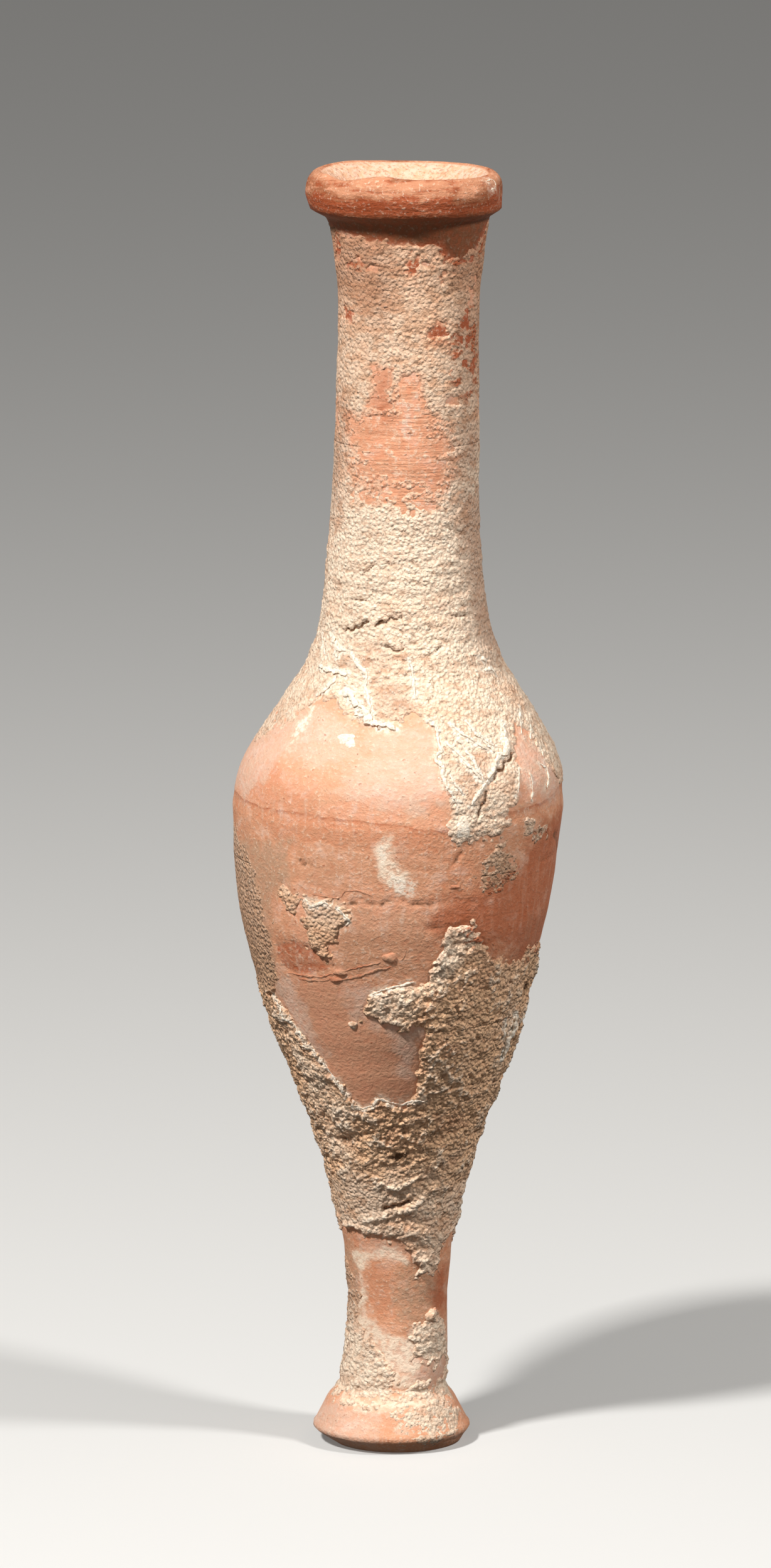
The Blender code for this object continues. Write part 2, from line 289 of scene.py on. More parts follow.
# Areas of colour on the bare clay, in the same two forms
STAINS = {
    "orange": (
        ((-66, 97.5), (-52, 100), (-46, 96), (-30, 95), (-34, 92.9), (-56, 92.9), (-70, 93.4)),
        ((-58, 92.8), (-20, 92.9), (0, 91.9), (18, 91), (14, 88), (-12, 88.6), (-30, 88.8), (-54, 89.4)),
        ((-38, 27.4), (-15, 27.5), (-4, 26.6), (-5, 20.4), (-20, 19.2), (-36, 19.8), (-40, 23)),
        ((-66, 31), (-24, 30.8), (-28, 28.9), (-60, 27.6)),
        (26, 82.5, 5, 6),
        (-50, 79, 2.4, 2),
    ),
    "deep_slip": (
        ((26, 82), (42, 83.4), (56, 90), (70, 91.6), (96, 91), (104, 72), (58, 70), (40, 73), (14, 76),
         (12, 80)),
        (62, 22, 3, 3.6),
        (-21, 149.8, 1, 2.8),
    ),
    "red_step": (
        ((-50.5, 73.4), (-42, 74.1), (-36, 73.9), (-31.5, 73.2), (-24, 71.4), (-34, 70.5), (-48, 69.8)),
    ),
    "panel": (
        ((-47, 68.2), (-14, 69.8), (-9, 67.2), (-14, 64), (-3.5, 63.2), (6, 61.7), (8, 60.7), (9, 56.5),
         (9, 53), (0, 50.5), (-15, 50.1), (-29, 52), (-43.5, 58.4), (-44, 65.8)),
    ),
    "dull": (
        ((-24, 80), (0, 80.5), (14, 79.5), (14, 71), (0, 69), (-14, 69.5), (-24, 71)),
        (-4, 86, 9, 2.6),
        (-26, 85.4, 5, 3.4),
        ((-70, 89), (-44, 88.5), (-43, 82), (-47, 75), (-70, 72)),
    ),
    "dust": (
        ((-104, 89), (-76, 87), (-54, 87.8), (-41, 88), (-40, 82.2), (-49, 80.4), (-54, 76), (-52, 69),
         (-62, 65), (-104, 66)),
        ((-100, 28.6), (-46, 28), (-43, 24), (-44, 17), (-100, 17)),
        (12, 22, 1.6, 4.6),
        (34, 22, 2.2, 3.4),
        (66, 74, 6, 3),
        (170, 80, 16, 9),
    ),
    "haze": (
        ((-57, 69), (-47, 68.3), (-44, 65.8), (-39, 58), (-43, 57.4), (-52, 60.9), (-57.5, 65.1)),
        (10, 62, 2.2, 1.1),
        ((-20, 68.4), (-12, 68.8), (-6, 66), (-8, 63), (-16, 64)),
        ((-2, 62.6), (7, 61.4), (8.5, 56), (8.6, 53), (3, 56)),
        ((-100, 6), (-12, 6), (-16, 1), (-100, 1)),
        ((-104, 102), (-70, 103), (-55, 106), (-36, 106.4), (-20, 103.8), (-24, 100), (-44, 100), (-52, 100),
         (-58, 96.5), (-66, 93.4), (-104, 93)),
        (0, 98, 8, 4),
        (2, 102.6, 6, 2.2),
        (-34, 101.6, 5, 2.4),
        (66, 96.6, 5, 4),
        ((49, 101), (55, 102.6), (60, 101.4), (63, 97), (62, 94.2), (52, 93.6), (48, 96)),
        (84, 86, 3, 3),
        (46, 13, 6, 4.5),
        ((-44, 29.4), (5, 28.5), (11, 27.6), (-6, 27.5), (-38, 28.1)),
    ),
    "cream": (
        ((-9, 89.8), (-2.5, 90), (0, 87), (3.5, 85), (-2, 83), (-6, 85)),
        ((-34, 81), (-24, 80.6), (-18, 78.6), (-24, 74.5), (-34, 75.5)),
        ((-60, 27.6), (-30, 28.5), (0, 28.4), (12, 27.3), (10, 26.4), (-4, 27.2), (-22, 27.6), (-36, 27.2),
         (-41, 25), (-42, 20), (-34, 18.6), (-38, 17.6), (-50, 20), (-48, 26)),
        ((-100, 18), (-38, 18.6), (-14, 17.4), (10, 16), (26, 17), (22, 9), (-100, 9)),
        ((-60, 7.4), (-20, 7.2), (20, 7.2), (60, 7.2), (60, 6.2), (-60, 6.2)),
    ),
    "lime": (
        ((-1, 85.2), (3, 84.6), (6, 84.4), (5.6, 81.9), (1, 81.7), (-2, 83.2)),
        (-4.4, 88, 0.5, 1),
        (-50, 104, 0.6, 2.2),
        (66, 59, 1.4, 3.6),
    ),
    "lip_red": (
        ((-7, 177.6), (9, 177.6), (8.5, 175.1), (-7.5, 175.2)),
        ((12, 177.6), (28, 177.4), (28.5, 175.1), (11.5, 175.1)),
        ((-100, 176.4), (-70, 177), (-34, 176.6), (-8, 176.8), (20, 176.2), (60, 176), (100, 176.6),
         (100, 174), (-100, 174)),
        ((58, 178.4), (82, 178), (78, 174.8), (58, 175)),
        ((-100, 175.2), (-33, 175.3), (0, 175.2), (30, 175.1), (100, 175.4), (100, 173.6), (-100, 173.6)),
        ((-68, 178.8), (-52, 178.6), (-64, 177.9)),
        (60, 155, 4.4, 6.5),
        (47, 170.6, 7.5, 3.6),
        (-71, 169.6, 1.5, 1.8),
        (-59.5, 168, 1.7, 1.1),
        (-50, 167.4, 2.4, 0.9),
        (-60, 160, 1.6, 1),
        (28, 158, 1.8, 1.2),
        (3, 167.4, 1, 1.3),
        (140, 177, 8, 1.6),
        (-140, 176, 6, 1.2),
    ),
    "lip_worn": (
        ((-92, 179), (-60, 178.9), (-36, 177.6), (-30, 175), (-92, 174.6)),
        ((-30, 176.9), (-8, 176.8), (-8, 175), (-30, 175)),
        ((28, 177.2), (58, 177.4), (58, 175), (28, 175)),
        ((80, 178.4), (104, 178), (104, 175), (80, 175)),
    ),
    "rubbed": (
        ((-179, 6.2), (-20, 6.6), (179, 6.2), (179, 4.2), (0, 3.6), (-179, 4.2)),
        (-8, 79.5, 10, 3),
        (-30, 77, 4, 6),
    ),
    "salmon": (
        ((-55, 146.5), (-27, 149), (-16, 148), (-3, 152), (8, 152), (13, 149), (31, 147), (34, 136),
         (22, 132.6), (6, 133.6), (-38, 133.8), (-46, 138.5)),
    ),
}

SHOULDER_SLIP_LINE = (
    (-180, 92.5), (-72, 93), (-56, 92.8), (-31, 92.8), (-8, 92.3), (3, 91.7), (17, 91), (42, 92.8),
    (60, 93.3), (76, 94.4), (100, 93.5), (180, 92.5),
)

# Amounts in mm at heights: the crust's thickness and its three kinds of roughness
CRUST_THICKNESS = (
    (0, 0.12), (7, 0.16), (10, 0.34), (16, 0.4), (24, 0.45), (31, 0.55), (45, 0.7), (60, 0.85),
    (75, 0.62), (86, 0.32), (100, 0.3), (112, 0.5), (124, 0.48), (136, 0.3), (172, 0.24),
)
GRAIN_RELIEF = (
    (0, 0.06), (8, 0.10), (20, 0.13), (45, 0.11), (75, 0.10), (86, 0.09), (100, 0.06), (112, 0.08),
    (130, 0.065), (150, 0.045), (172, 0.045),
)
# Crust features are rounder on the belly and flatter on neck and stem: (height, height in the noise)
CRUST_FLATTENING = ((0, 0), (30, 42), (84, 97), (110, 133), (130, 160), (180, 216))
FLAKE_RELIEF = (
    (0, 0.02), (10, 0.15), (20, 0.12), (32, 0.2), (44, 0.12), (60, 0.06), (88, 0.06), (106, 0.06),
    (114, 0.13), (125, 0.11), (134, 0.03), (172, 0),
)
WORM_RELIEF = (
    (0, 0), (12, 0.1), (30, 0.3), (48, 0.42), (72, 0.42), (84, 0.14), (112, 0.06), (130, 0), (172, 0),
)
USUAL_WORM_RELIEF = 0.36

# How far the crust's edge is frayed out, how pale its lime makes it and how earthy it is, at heights
CRUST_SOFTNESS = (
    (0, 2.6), (8, 2.6), (14, 2), (24, 1.8), (31, 1.1), (88, 1), (100, 1.2), (112, 1.5), (128, 2.6),
    (140, 2.2), (149, 1.3), (156, 2.4), (172, 3),
)
CRUST_PALENESS = (
    (0, 0.85), (9, 0.95), (14, 0.95), (18, 0.65), (26, 0.5), (34, 0.6), (42, 0.5), (50, 0.38), (72, 0.35),
    (84, 0.5), (92, 0.75), (106, 0.85), (113, 0.8), (120, 1), (132, 0.85), (146, 0.55), (158, 0.4),
    (166, 0.15), (172, 0.05),
)
CRUST_EARTH = (
    (0, 0), (22, 0.05), (32, 0.25), (46, 0.75), (66, 0.75), (76, 0.4), (86, 0.3), (92, 0.1), (172, 0.12),
)

# The worn window in the neck: its middle height, the height over which level streaks fade out above and
# below, how many times that far from the middle they end, and how far from its outline it is measured
WINDOW_HEIGHT = 141
WINDOW_REACH = 7
STREAKS_END = 1.4
WINDOW_AREA_REACH = 5.0

# Distance over which the crust thins out towards the window, shorter round its upper fingers:
# (height, distance)
WINDOW_THINNING = ((145, 4.5), (149, 1.2))

# The crust's edge: how much further it is frayed in the frayed areas, how far it is under the lip and how
# much further in those areas there
FRAYED_FURTHER = 0.9
LIP_EDGE_FRAY = 1.5
LIP_EDGE_FRAYED_FURTHER = 2.5

# Widths over which areas blend in: frayed, smooth, thin and limy crust, and the smooth panel
FRAYED_BLEND = 3
SMOOTH_BLEND = 1.6
THIN_BLEND = 3
LIMY_BLEND = 2.4
PANEL_BLEND = 1.5

# Shares lost there: of thickness where crust is thin, of roughness in smooth areas, near the window and in
# thin areas, and of earth where crust is limy
THIN_LOSS = 0.8
SMOOTH_LOSS = 0.8
WINDOW_SMOOTHING = 0.85
THIN_SMOOTHING = 0.2
LIMY_EARTH_LOSS = 0.45

# Share of the crust's thickness that is sunk in the clay, the width over which it sinks and how much of it
# does so at the edge
SUNK_SHARE = 0.5
SUNK_WIDTH = 1.3
SUNK_AT_EDGE = 0.2

# How steeply the crust's top dives under the clay outside its edge, the width over which its roughness
# begins, and the share of its thickness that a crack may cut
EDGE_DIVE = 0.6
SETTLING_WIDTH = 0.5
DEEPEST_CUT = 0.85

# Usual strength of cracks and crests, its bounds, and how much darker a crack is painted than it is deep,
# partly soil and partly painted shade
USUAL_STRENGTH = 0.9
STRENGTH_LIMITS = (0.35, 1.3)
CRACK_DARKNESS = 1.2

# Flakes: terraces for each step of their noise, and how steep the edges between terraces are
FLAKE_TERRACES = 3
TERRACE_STEEPNESS = 3.5

# Worms: how far they slant, how full they usually are along their length and the bounds of that, the
# heights of long and short ones, and the level they stand out from
WORM_SLANT = 0.5
USUAL_WORM_LENGTH = 0.8
WORM_LENGTH_LIMITS = (0.2, 1.4)
LONG_WORM_HEIGHT = 0.5
SHORT_WORM_HEIGHT = 0.42
WORM_LEVEL = 0.32

# Pits: the noise that they begin at, and their depth where there are no worms and how much more with them
PIT_LIMIT = 0.25
PLAIN_PIT_DEPTH = 0.5
WORM_PIT_DEPTH = 0.6

# How far outlines wander up for each mm across, and the least radius that turns mm across to degrees
WANDER_UP = 0.75
LEAST_WANDER_RADIUS = 4

# How far the thin lines wander: the crust's edge under the lip, the slip's edge on the shoulder, grooves
# and crests, and cracks
LIP_EDGE_WANDER = 0.8
SLIP_LINE_WANDER = 0.5
GROOVE_WANDER = 0.45
CRACK_WANDER = 0.25

# The slip's thickness at its edge on the shoulder, the depth of the red step, the width of both edges and
# the bare rim above the foot's ledge
SLIP_THICKNESS = 0.07
RED_STEP_DEPTH = 0.12
SLIP_EDGE_WIDTH = 0.3
LEDGE_BARE = 0.6

# Grains of crust lie scattered on the clay where noise passes a limit. Each mm away from the crust takes
# something off the noise, and what passes the limit counts as so many mm inside a grain's edge.
SCATTER_LIMIT = 0.62
SCATTER_THINNING = 0.07
SCATTER_COVER = 0.8

# Signed distances to drawn areas are kept up to this
AREA_REACH = 3.0

# A path is measured only this near its middle, in degrees and in mm, and is taken to be far off elsewhere
PATH_MARGIN_ANGLE = 12
PATH_MARGIN_HEIGHT = 2
FAR_FROM_PATH = 9.0

# Steps of the outline that places are looked up on, and of paths and strands along their points, and the
# degrees over which an edge line's slope is taken
LOOKUP_STEP = 0.25
PATH_STEP = 0.3
STRAND_STEP = 0.2
SLOPE_STEP = 0.5

# Rings of the clay have all their points between these heights and on the lip
FINE_LOW = 46
FINE_HIGH = 114

# Rows of the mouth's funnel, steps of the hollow below it, and rings on the resting face as shares of its
# radius
MOUTH_ROWS = 60
DEEP_STEP = 4.0
BASE_RINGS = (0.66, 0.33)

# Pieces of crust: (name, lowest and highest height, points round it)
CRUST_BANDS = (
    ("crust_upper_neck", 142.0, NECK_TOP, 248),
    ("crust_lower_neck", 113.0, 142.3, 264),
    ("crust_shoulder", 84.0, 113.3, 480),
    ("crust_upper_belly", 62.0, 84.3, 500),
    ("crust_lower_belly", 44.0, 62.3, 440),
    ("crust_stem", 0.6, 44.3, 236),
)

# Heights over which the relief fades in above the resting face and the lip's looks above the neck, and
# the distance inside its area over which a material's bump begins
RESTING_BLEND = 0.8
LIP_BLEND = 0.6
BUMP_BLEND = 0.8

# Points round a strand, its height over its width, its thinnest half width and the bounds of its wear
STRAND_SIDES = 8
STRAND_FLATNESS = 0.38
STRAND_THINNEST = 0.02
STRAND_WEAR = (0.35, 1.7)

# Rings and points of a lump, its innermost ring's share, and how deep its rim and its underside are sunk
LUMP_RINGS = 7
LUMP_SIDES = 20
LUMP_CORE = 0.16
LUMP_SUNK = 0.12
LUMP_UNDERSIDE = 0.45

# Lights: (name, degrees round from the front, degrees up, distance and size in metres, power's property)
LIGHTS = (
    ("key_left", -42, 47, 1.0, 0.11, "left_power"),
    ("key_right", 64, 42, 1.0, 0.12, "right_power"),
    ("fill_front", -10, 10, 1.4, 0.7, "fill_power"),
)
FLOOR_HALF = 6.0
SKY_COLOUR = (1.0, 0.985, 0.97, 1.0)

# Hollows in the crust: (angle, height, half width, half height, depth)
CRUST_HOLLOWS = (
    (1, 43, 1.9, 0.9, 0.45),
    (-9, 41.6, 1.2, 0.5, 0.2),
    (-42, 44.9, 1.6, 0.35, 0.35),
    (74, 66, 2.2, 1.4, 0.5),
    (58, 89.2, 0.9, 0.5, 0.4),
)

# White marks of lime left by roots: (half width, then the path's (angle, height) points)
LIME_MARKS = (
    (0.20, (-69, 115.4), (-64, 113.8), (-57, 112.8)),
    (0.30, (-57, 116), (-52, 114.7), (-45, 114), (-39, 113.8)),
    (0.22, (-49.5, 114.8), (-48.5, 113.5), (-44.5, 112.7)),
    (0.22, (-37, 114), (-30, 112.4), (-22.5, 110.8), (-21.5, 109.4), (-18, 107.6), (-15, 106)),
    (0.30, (-59, 111.2), (-47, 111), (-34, 110.8)),
    (0.22, (-41, 110.5), (-44, 108.6), (-49, 107.9)),
    (0.46, (-33, 108.7), (-28, 107.7), (-23, 107), (-17, 105.6), (-12, 104.8), (-3.5, 104.5)),
    (0.28, (-24, 106), (-17, 105.6)),
    (0.17, (2, 113.3), (4.5, 111.8), (4.5, 109.4), (6, 108)),
    (0.26, (52, 112.4), (58, 112.1)),
    (0.24, (52, 111), (60, 111), (62, 110)),
    (0.30, (12, 105.2), (15, 103.5), (15, 101.7), (13.4, 100.6), (15, 99.5), (16, 97.2), (17, 96.4)),
    (0.17, (30.2, 104.1), (35, 102.8), (39.8, 101.5)),
    (0.22, (28.5, 105.1), (33.8, 102.9), (38.8, 100.6)),
    (0.20, (21.2, 104.7), (28, 103), (35.5, 101.2)),
    (0.15, (18, 102.6), (22, 101.2), (26, 99.6)),
    (0.60, (67, 62.2), (65, 59.4), (63.5, 56.4)),
    (0.24, (22.2, 103.5), (25.5, 101.7), (29.2, 99.1), (30.8, 97.3)),
    (0.22, (23.8, 100), (26.8, 98.9), (29.8, 97.4)),
    (0.16, (68, 105.5), (62, 103.9), (58.5, 102.3)),
    (0.18, (18, 98.3), (20, 97), (22, 95.9)),
    (0.18, (17, 96.5), (19, 95.4), (21, 94.3)),
    (0.42, (49, 104), (46.5, 102.4), (45.5, 101), (42, 100.2)),
    (0.32, (43, 100.6), (39, 99.7), (35, 98.2), (33, 97.4)),
    (0.24, (33, 97.4), (30.5, 96.6), (28, 95.4), (25.5, 94.2)),
    (0.16, (69, 103.2), (66, 102.2), (63, 101.3)),
    (0.16, (67.5, 99.8), (66, 98.7)),
    (0.22, (61.5, 98.2), (65, 97.3), (64.5, 96.1), (61.5, 94.8)),
    (0.20, (53.5, 97.5), (53, 95.9), (52, 93.6)),
    (0.14, (49, 98.4), (47, 97.1), (44.5, 94.9)),
    (0.28, (-64, 65.2), (-61, 64.4), (-58, 62.9), (-52, 61.1), (-49, 59.8)),
    (0.20, (-49, 59.8), (-41, 56.8), (-35, 54.6), (-29, 52)),
    (0.18, (-26, 50.8), (-21, 50.2), (-15, 50.5), (-11, 51.7), (-4, 51.2), (1, 50.8)),
    (0.15, (1, 50.8), (7, 51.4), (14.5, 51.7)),
    (0.16, (-9, 67.6), (-3, 68.5), (1, 68.8), (8, 69.6)),
    (0.15, (-34, 80.7), (-31, 79.9), (-26, 80.5), (-24, 80.3)),
    (0.17, (-20.5, 79.9), (-18, 79), (-16.6, 78.2), (-18, 77.4)),
    (0.20, (80, 61.4), (74, 60.7), (69.5, 60.1), (63, 56.8)),
    (0.18, (57.5, 62.4), (57, 60.6), (58, 59.5)),
    (0.07, (60.5, 179), (67.5, 179), (69, 178.6), (67, 178), (61, 177.7)),
    (0.08, (80, 178.2), (79, 177), (78, 175.8)),
    (0.20, (-150, 112), (-142, 108), (-146, 104), (-136, 100)),
    (0.16, (-142, 108), (-130, 106), (-124, 102)),
    (0.20, (150, 74), (158, 69), (170, 66), (179, 64.5)),
)

# Lumps standing on the surface: (angle, height, half width, half height, thickness, what it is)
LUMPS = (
    (-25, 103, 1.5, 0.75, 0.22, "lime"),
    (-22, 102.4, 0.8, 0.7, 0.22, "lime"),
    (22.5, 91.2, 1.2, 1.7, 0.3, "lime"),
    (46, 102.2, 1.1, 1.5, 0.18, "lime"),
    (42, 18.8, 0.95, 0.95, 0.75, "crust"),
    (-19, 62.8, 0.68, 0.62, 0.5, "crust"),
    (-1.5, 73, 1.15, 0.75, 0.5, "clay"),
    (-21.5, 70.5, 1.1, 0.5, 0.45, "clay"),
    (-24, 69.4, 1.1, 0.4, 0.4, "clay"),
    (21, 82.9, 0.9, 0.3, 0.25, "clay"),
)

# Fine ridges pushed up by a tool: (half width, then the path's points)
TOOL_RIDGES = (
    (0.15, (-48, 69.4), (-35, 69.5), (-24, 70.1)),
    (0.13, (-42, 68.9), (-34, 68.9), (-24, 69.4)),
    (0.15, (-22, 69.3), (-14, 70.1), (-8, 70.9), (-1, 71.7)),
    (0.13, (-20, 70.8), (-10, 71.9), (-5, 72.2)),
    (0.12, (-31, 81.6), (-24, 81.3), (-20, 81.5), (-18, 82.4), (-14, 82.5), (-8, 81.9)),
    (0.10, (2.5, 72.6), (4, 73.2), (5, 74.3)),
)

# Dark cracks and raised crests in the crust, and grooves in the clay: (half width, depth or height, then
# the path's points)
CRUST_CRACKS = (
    (0.18, 1.10, (-45, 116.4), (-42.5, 116.9), (-39, 116.7), (-36.5, 117.3), (-33, 117.2), (-30, 117.8),
     (-26, 118)),
    (0.18, 0.90, (-20, 117.7), (-16, 118.3), (-13.5, 118.1), (-10, 118.8), (-7, 118.5), (-3, 118.9)),
    (0.16, 0.42, (32, 119), (43, 118.6), (53, 118.6)),
    (0.16, 0.40, (-38, 125.3), (-31, 124.9), (-26, 125.5), (-20, 126.1), (-8, 126.2)),
    (0.17, 0.45, (-51, 120.4), (-40, 120.9), (-29, 120.9)),
    (0.18, 0.45, (-16, 115), (-10.5, 114.9), (-5, 114.3), (-1.5, 114.6)),
    (0.17, 0.40, (7, 113.6), (12.5, 113.5), (17, 113.9), (24, 114.7)),
    (0.17, 0.80, (50.3, 100.3), (47.4, 100.3), (45.2, 99.4), (42.4, 99.4), (40.6, 98.4), (37.6, 98.4),
     (35.8, 97.5), (33.4, 97.2), (33, 96.2), (31.4, 95.9), (31.3, 94.7), (29.6, 94.1), (28.6, 92.6)),
    (0.26, 0.60, (-11.5, 35), (-4, 35.4), (3, 35.6), (8.8, 36.1)),
    (0.16, 0.35, (-9, 79), (2, 78), (3, 77)),
    (0.14, 0.30, (28, 131.6), (44, 130.2), (56, 129.6)),
)
CRUST_RIDGES = (
    (0.50, 0.50, (-31, 32.9), (-13.2, 33.7), (-4.2, 34.3), (13, 35.3), (21.2, 36.5)),
    (0.36, 0.45, (-13, 39), (-8, 38.4), (-2, 38.1), (5, 38.5), (10.5, 39.4)),
    (0.34, 0.30, (-60, 64.2), (-55, 62.2), (-48, 59), (-41, 56.6), (-35, 54.4), (-30, 52.6)),
    (0.30, 0.28, (-28, 51), (-18.8, 50.2), (-10.2, 51), (-3.5, 51.2), (5.8, 52), (12, 52.7)),
    (0.45, 0.30, (-60, 31.9), (-38, 31.8), (-27, 31.5), (-14, 31.3), (-5, 31.4)),
)
CLAY_GROOVES = (
    (0.22, 0.28, (-16, 80.7), (-12, 81), (-6.5, 80.7), (1, 81.3), (5, 80.9), (13.5, 80.7)),
    (0.17, 0.26, (-51, 73.4), (-42, 74.1), (-36, 73.9), (-31.5, 73.2), (-24, 71.4)),
    (0.18, 0.12, (13.5, 80.7), (24, 81), (30, 80.7)),
    (0.18, 0.18, (18, 83.3), (22, 83.4)),
    (0.24, 0.30, (22.5, 87.9), (21.6, 87.2), (20.8, 86.3)),
    (0.20, 0.18, (57, 85.1), (66, 84.6), (76, 85)),
    (0.36, 0.30, (72, 88), (79, 86.2), (88, 84)),
    (0.30, 0.30, (-36, 86.1), (-34, 85.9)),
    (0.24, 0.20, (-32.5, 86.2), (-31, 85.9)),
    (0.20, 0.22, (10, 77.3), (20, 77.2), (28, 77.6)),
    (0.20, 0.14, (-49, 70), (-35, 70.5), (-24, 71.2)),
)


def linear(code):
    """An sRGB hex colour as linear red, green and blue."""
    channels = [int(code[i : i + 2], 16) / 255 for i in (1, 3, 5)]
    return tuple(c / 12.92 if c <= 0.04045 else ((c + 0.055) / 1.055) ** 2.4 for c in channels)


def number_property(name, description, value, **settings):
    """A number that the panel shows."""
    return bpy.props.FloatProperty(name=name, description=description, default=value, **settings)


def length_property(name, description, millimetres):
    """A length that is given here in mm and kept in metres."""
    return number_property(name, description, millimetres * MM, min=0.0, unit="LENGTH")


def colour_property(name, description, code):
    """A colour that is given here as an sRGB hex colour."""
    return bpy.props.FloatVectorProperty(
        name=name, description=description, default=linear(code), subtype="COLOR", min=0, max=1
    )


class FlaskSizes(bpy.types.PropertyGroup):
    """Sizes of the thrown clay and of the grids that carry its relief."""

    row_step: length_property("Row step", "Distance between rings of the clay mesh", 0.5)
    body_columns: bpy.props.IntProperty(
        name="Columns", description="Points round the belly, a multiple of eight", default=304, min=16
    )
    front_share: number_property("Front share", "How much finer the front is than the back", 0.22)
    throwing_rings: length_property("Throwing rings", "Height of the thrower's finger rings", 0.10)
    unevenness: length_property("Unevenness", "Broad dents and swells of the clay", 0.16)
    grain: length_property("Clay grain", "Height of the clay's fine grain", 0.035)
    mouth_fill: length_property("Mouth earth", "Height of the lumps of earth left in the mouth", 0.34)


class CrustSizes(bpy.types.PropertyGroup):
    """Sizes of the soil crust and of the lime on it."""

    step: length_property("Crust step", "Distance between points of the crust meshes", 0.24)
    ragged: length_property("Ragged edge", "How far the outlines of crust and stains wander", 1.0)
    ramp: length_property("Edge ramp", "Width over which the crust reaches its full thickness", 0.3)
    buried: length_property("Buried depth", "How far the crust's underside lies in the clay", 0.35)
    pits: length_property("Pits", "Depth of the small pits in the thick crust", 0.45)
    streaks: length_property("Window streaks", "How far level streaks fray the worn part of the neck", 3.4)


class FlaskColours(bpy.types.PropertyGroup):
    """Colours of the clay, the slip, the crust and the lime."""

    clay: colour_property("Clay", "Bare salmon clay", "#EBA982")
    bright_clay: colour_property("Rubbed clay", "Clay rubbed pale on the shoulder", "#ECA47F")
    salmon: colour_property("Salmon", "Clean clay of neck and lip", "#EE9F78")
    slip: colour_property("Slip", "Remains of the orange-red slip", "#DC8A61")
    deep_slip: colour_property("Deep slip", "Slip where it is thick and dark", "#B0542B")
    lip_red: colour_property("Lip red", "Dark red slip on the lip", "#A24A24")
    lip: colour_property("Lip", "Rubbed slip on the lip", "#C48663")
    lip_worn: colour_property("Worn lip", "Brown-red remains of slip on the lip", "#9C5C3A")
    panel: colour_property("Panel", "Smooth brown-red panel on the lower belly", "#DA9572")
    dust: colour_property("Dust", "Grey-beige wash of soil", "#B88E70")
    haze: colour_property("Haze", "Thin film of lime", "#EDD0BD")
    lime: colour_property("Lime", "White lime", "#FFF2DE")
    crust: colour_property("Crust", "Cream crust of lime and soil", "#FFE6CA")
    crust_tan: colour_property("Crust shade", "Tan parts of the crust", "#D9A986")
    crust_brown: colour_property("Brown crust", "Earthy parts of the crust", "#F7C79B")
    # Dark soil, also used as painted shade in cracks, pits, grooves and under the lip
    soil: colour_property("Soil", "Dark soil in pits and cracks", "#664226")


class FlaskStage(bpy.types.PropertyGroup):
    """Floor, lights and camera."""

    floor: colour_property("Floor", "Pale studio floor", "#C9C7C3")
    floor_light: number_property("Floor light", "Strength of the floor's own light", 0.22)
    left_power: number_property("Left light", "Power of the key light at the left", 12.2, unit="POWER")
    right_power: number_property("Right light", "Power of the light at the right", 6.3, unit="POWER")
    fill_power: number_property("Fill light", "Power of the soft front light", 2.6, unit="POWER")
    sky_strength: number_property("Sky", "Strength of the even light from all sides", 0.05)
    camera_distance: length_property("Camera distance", "From the flask's axis, level", 1330)
    camera_height: length_property("Camera height", "Above the floor", 330)
    camera_pitch: number_property(
        "Camera pitch", "Angle that the camera looks down", math.radians(10.0795), unit="ROTATION"
    )
    lens: number_property("Lens", "Focal length in mm on a 36 mm high sensor", 222.55)
    camera_left: length_property("Camera offset", "How far the camera stands to the left", 1.64)


def smooth_value(stations, places):
    """Values at some places of a curve through stations.

    Between two stations the curve is the cubic with the right end values and slopes. A station's slope
    is the harmonic mean of the slopes on both sides, and level at a turn, so nothing overshoots.
    """
    at, value = np.array(stations, float).T
    gaps = np.diff(at)
    rises = np.diff(value) / gaps
    pairs = zip(rises[:-1], rises[1:])
    middle = [2 * a * b / (a + b) if a * b > 0 else 0.0 for a, b in pairs]
    slopes = np.array([rises[0], *middle, rises[-1]])
    span = np.clip(np.searchsorted(at, places, side="right") - 1, 0, len(gaps) - 1)
    t = np.clip((places - at[span]) / gaps[span], 0.0, 1.0)
    return (
        (1 + 2 * t) * (1 - t) ** 2 * value[span]
        + t**2 * (3 - 2 * t) * value[span + 1]
        + t * (1 - t) ** 2 * gaps[span] * slopes[span]
        - t**2 * (1 - t) * gaps[span] * slopes[span + 1]
    )


# From a cube's middle to the middles of its twelve edges
DIRECTIONS = np.array(
    [(x, y, z) for x in (-1, 0, 1) for y in (-1, 0, 1) for z in (-1, 0, 1) if abs(x) + abs(y) + abs(z) == 2]
)


def noise(places, waves, seed):
    """Smooth noise between about -1 and 1 with a number of waves per mm, or one each for x, y and z.

    Each corner of a cubic lattice holds a slope picked by a hash of its whole-number place, and a point
    blends the eight slopes around it with a curve that is level at both ends.
    """
    scaled = places * np.asarray(waves, float) + seed * 17.31
    cell = np.floor(scaled).astype(np.int64)
    local = scaled - cell
    fade = local**3 * (local * (local * 6 - 15) + 10)
    total = np.zeros(len(places))
    for corner in np.ndindex(2, 2, 2):
        x, y, z = (cell + corner).T
        mixed = (x * 73856093) ^ (y * 19349663) ^ (z * 83492791)
        mixed = (mixed ^ (mixed >> 13)) * 1274126177
        slope = DIRECTIONS[((mixed ^ (mixed >> 16)) & 0x7FFFFFFF) % len(DIRECTIONS)]
        weight = np.prod(np.where(np.array(corner) == 1, fade, 1 - fade), axis=1)
        total += weight * np.sum(slope * (local - corner), axis=1)
    return total * 1.1


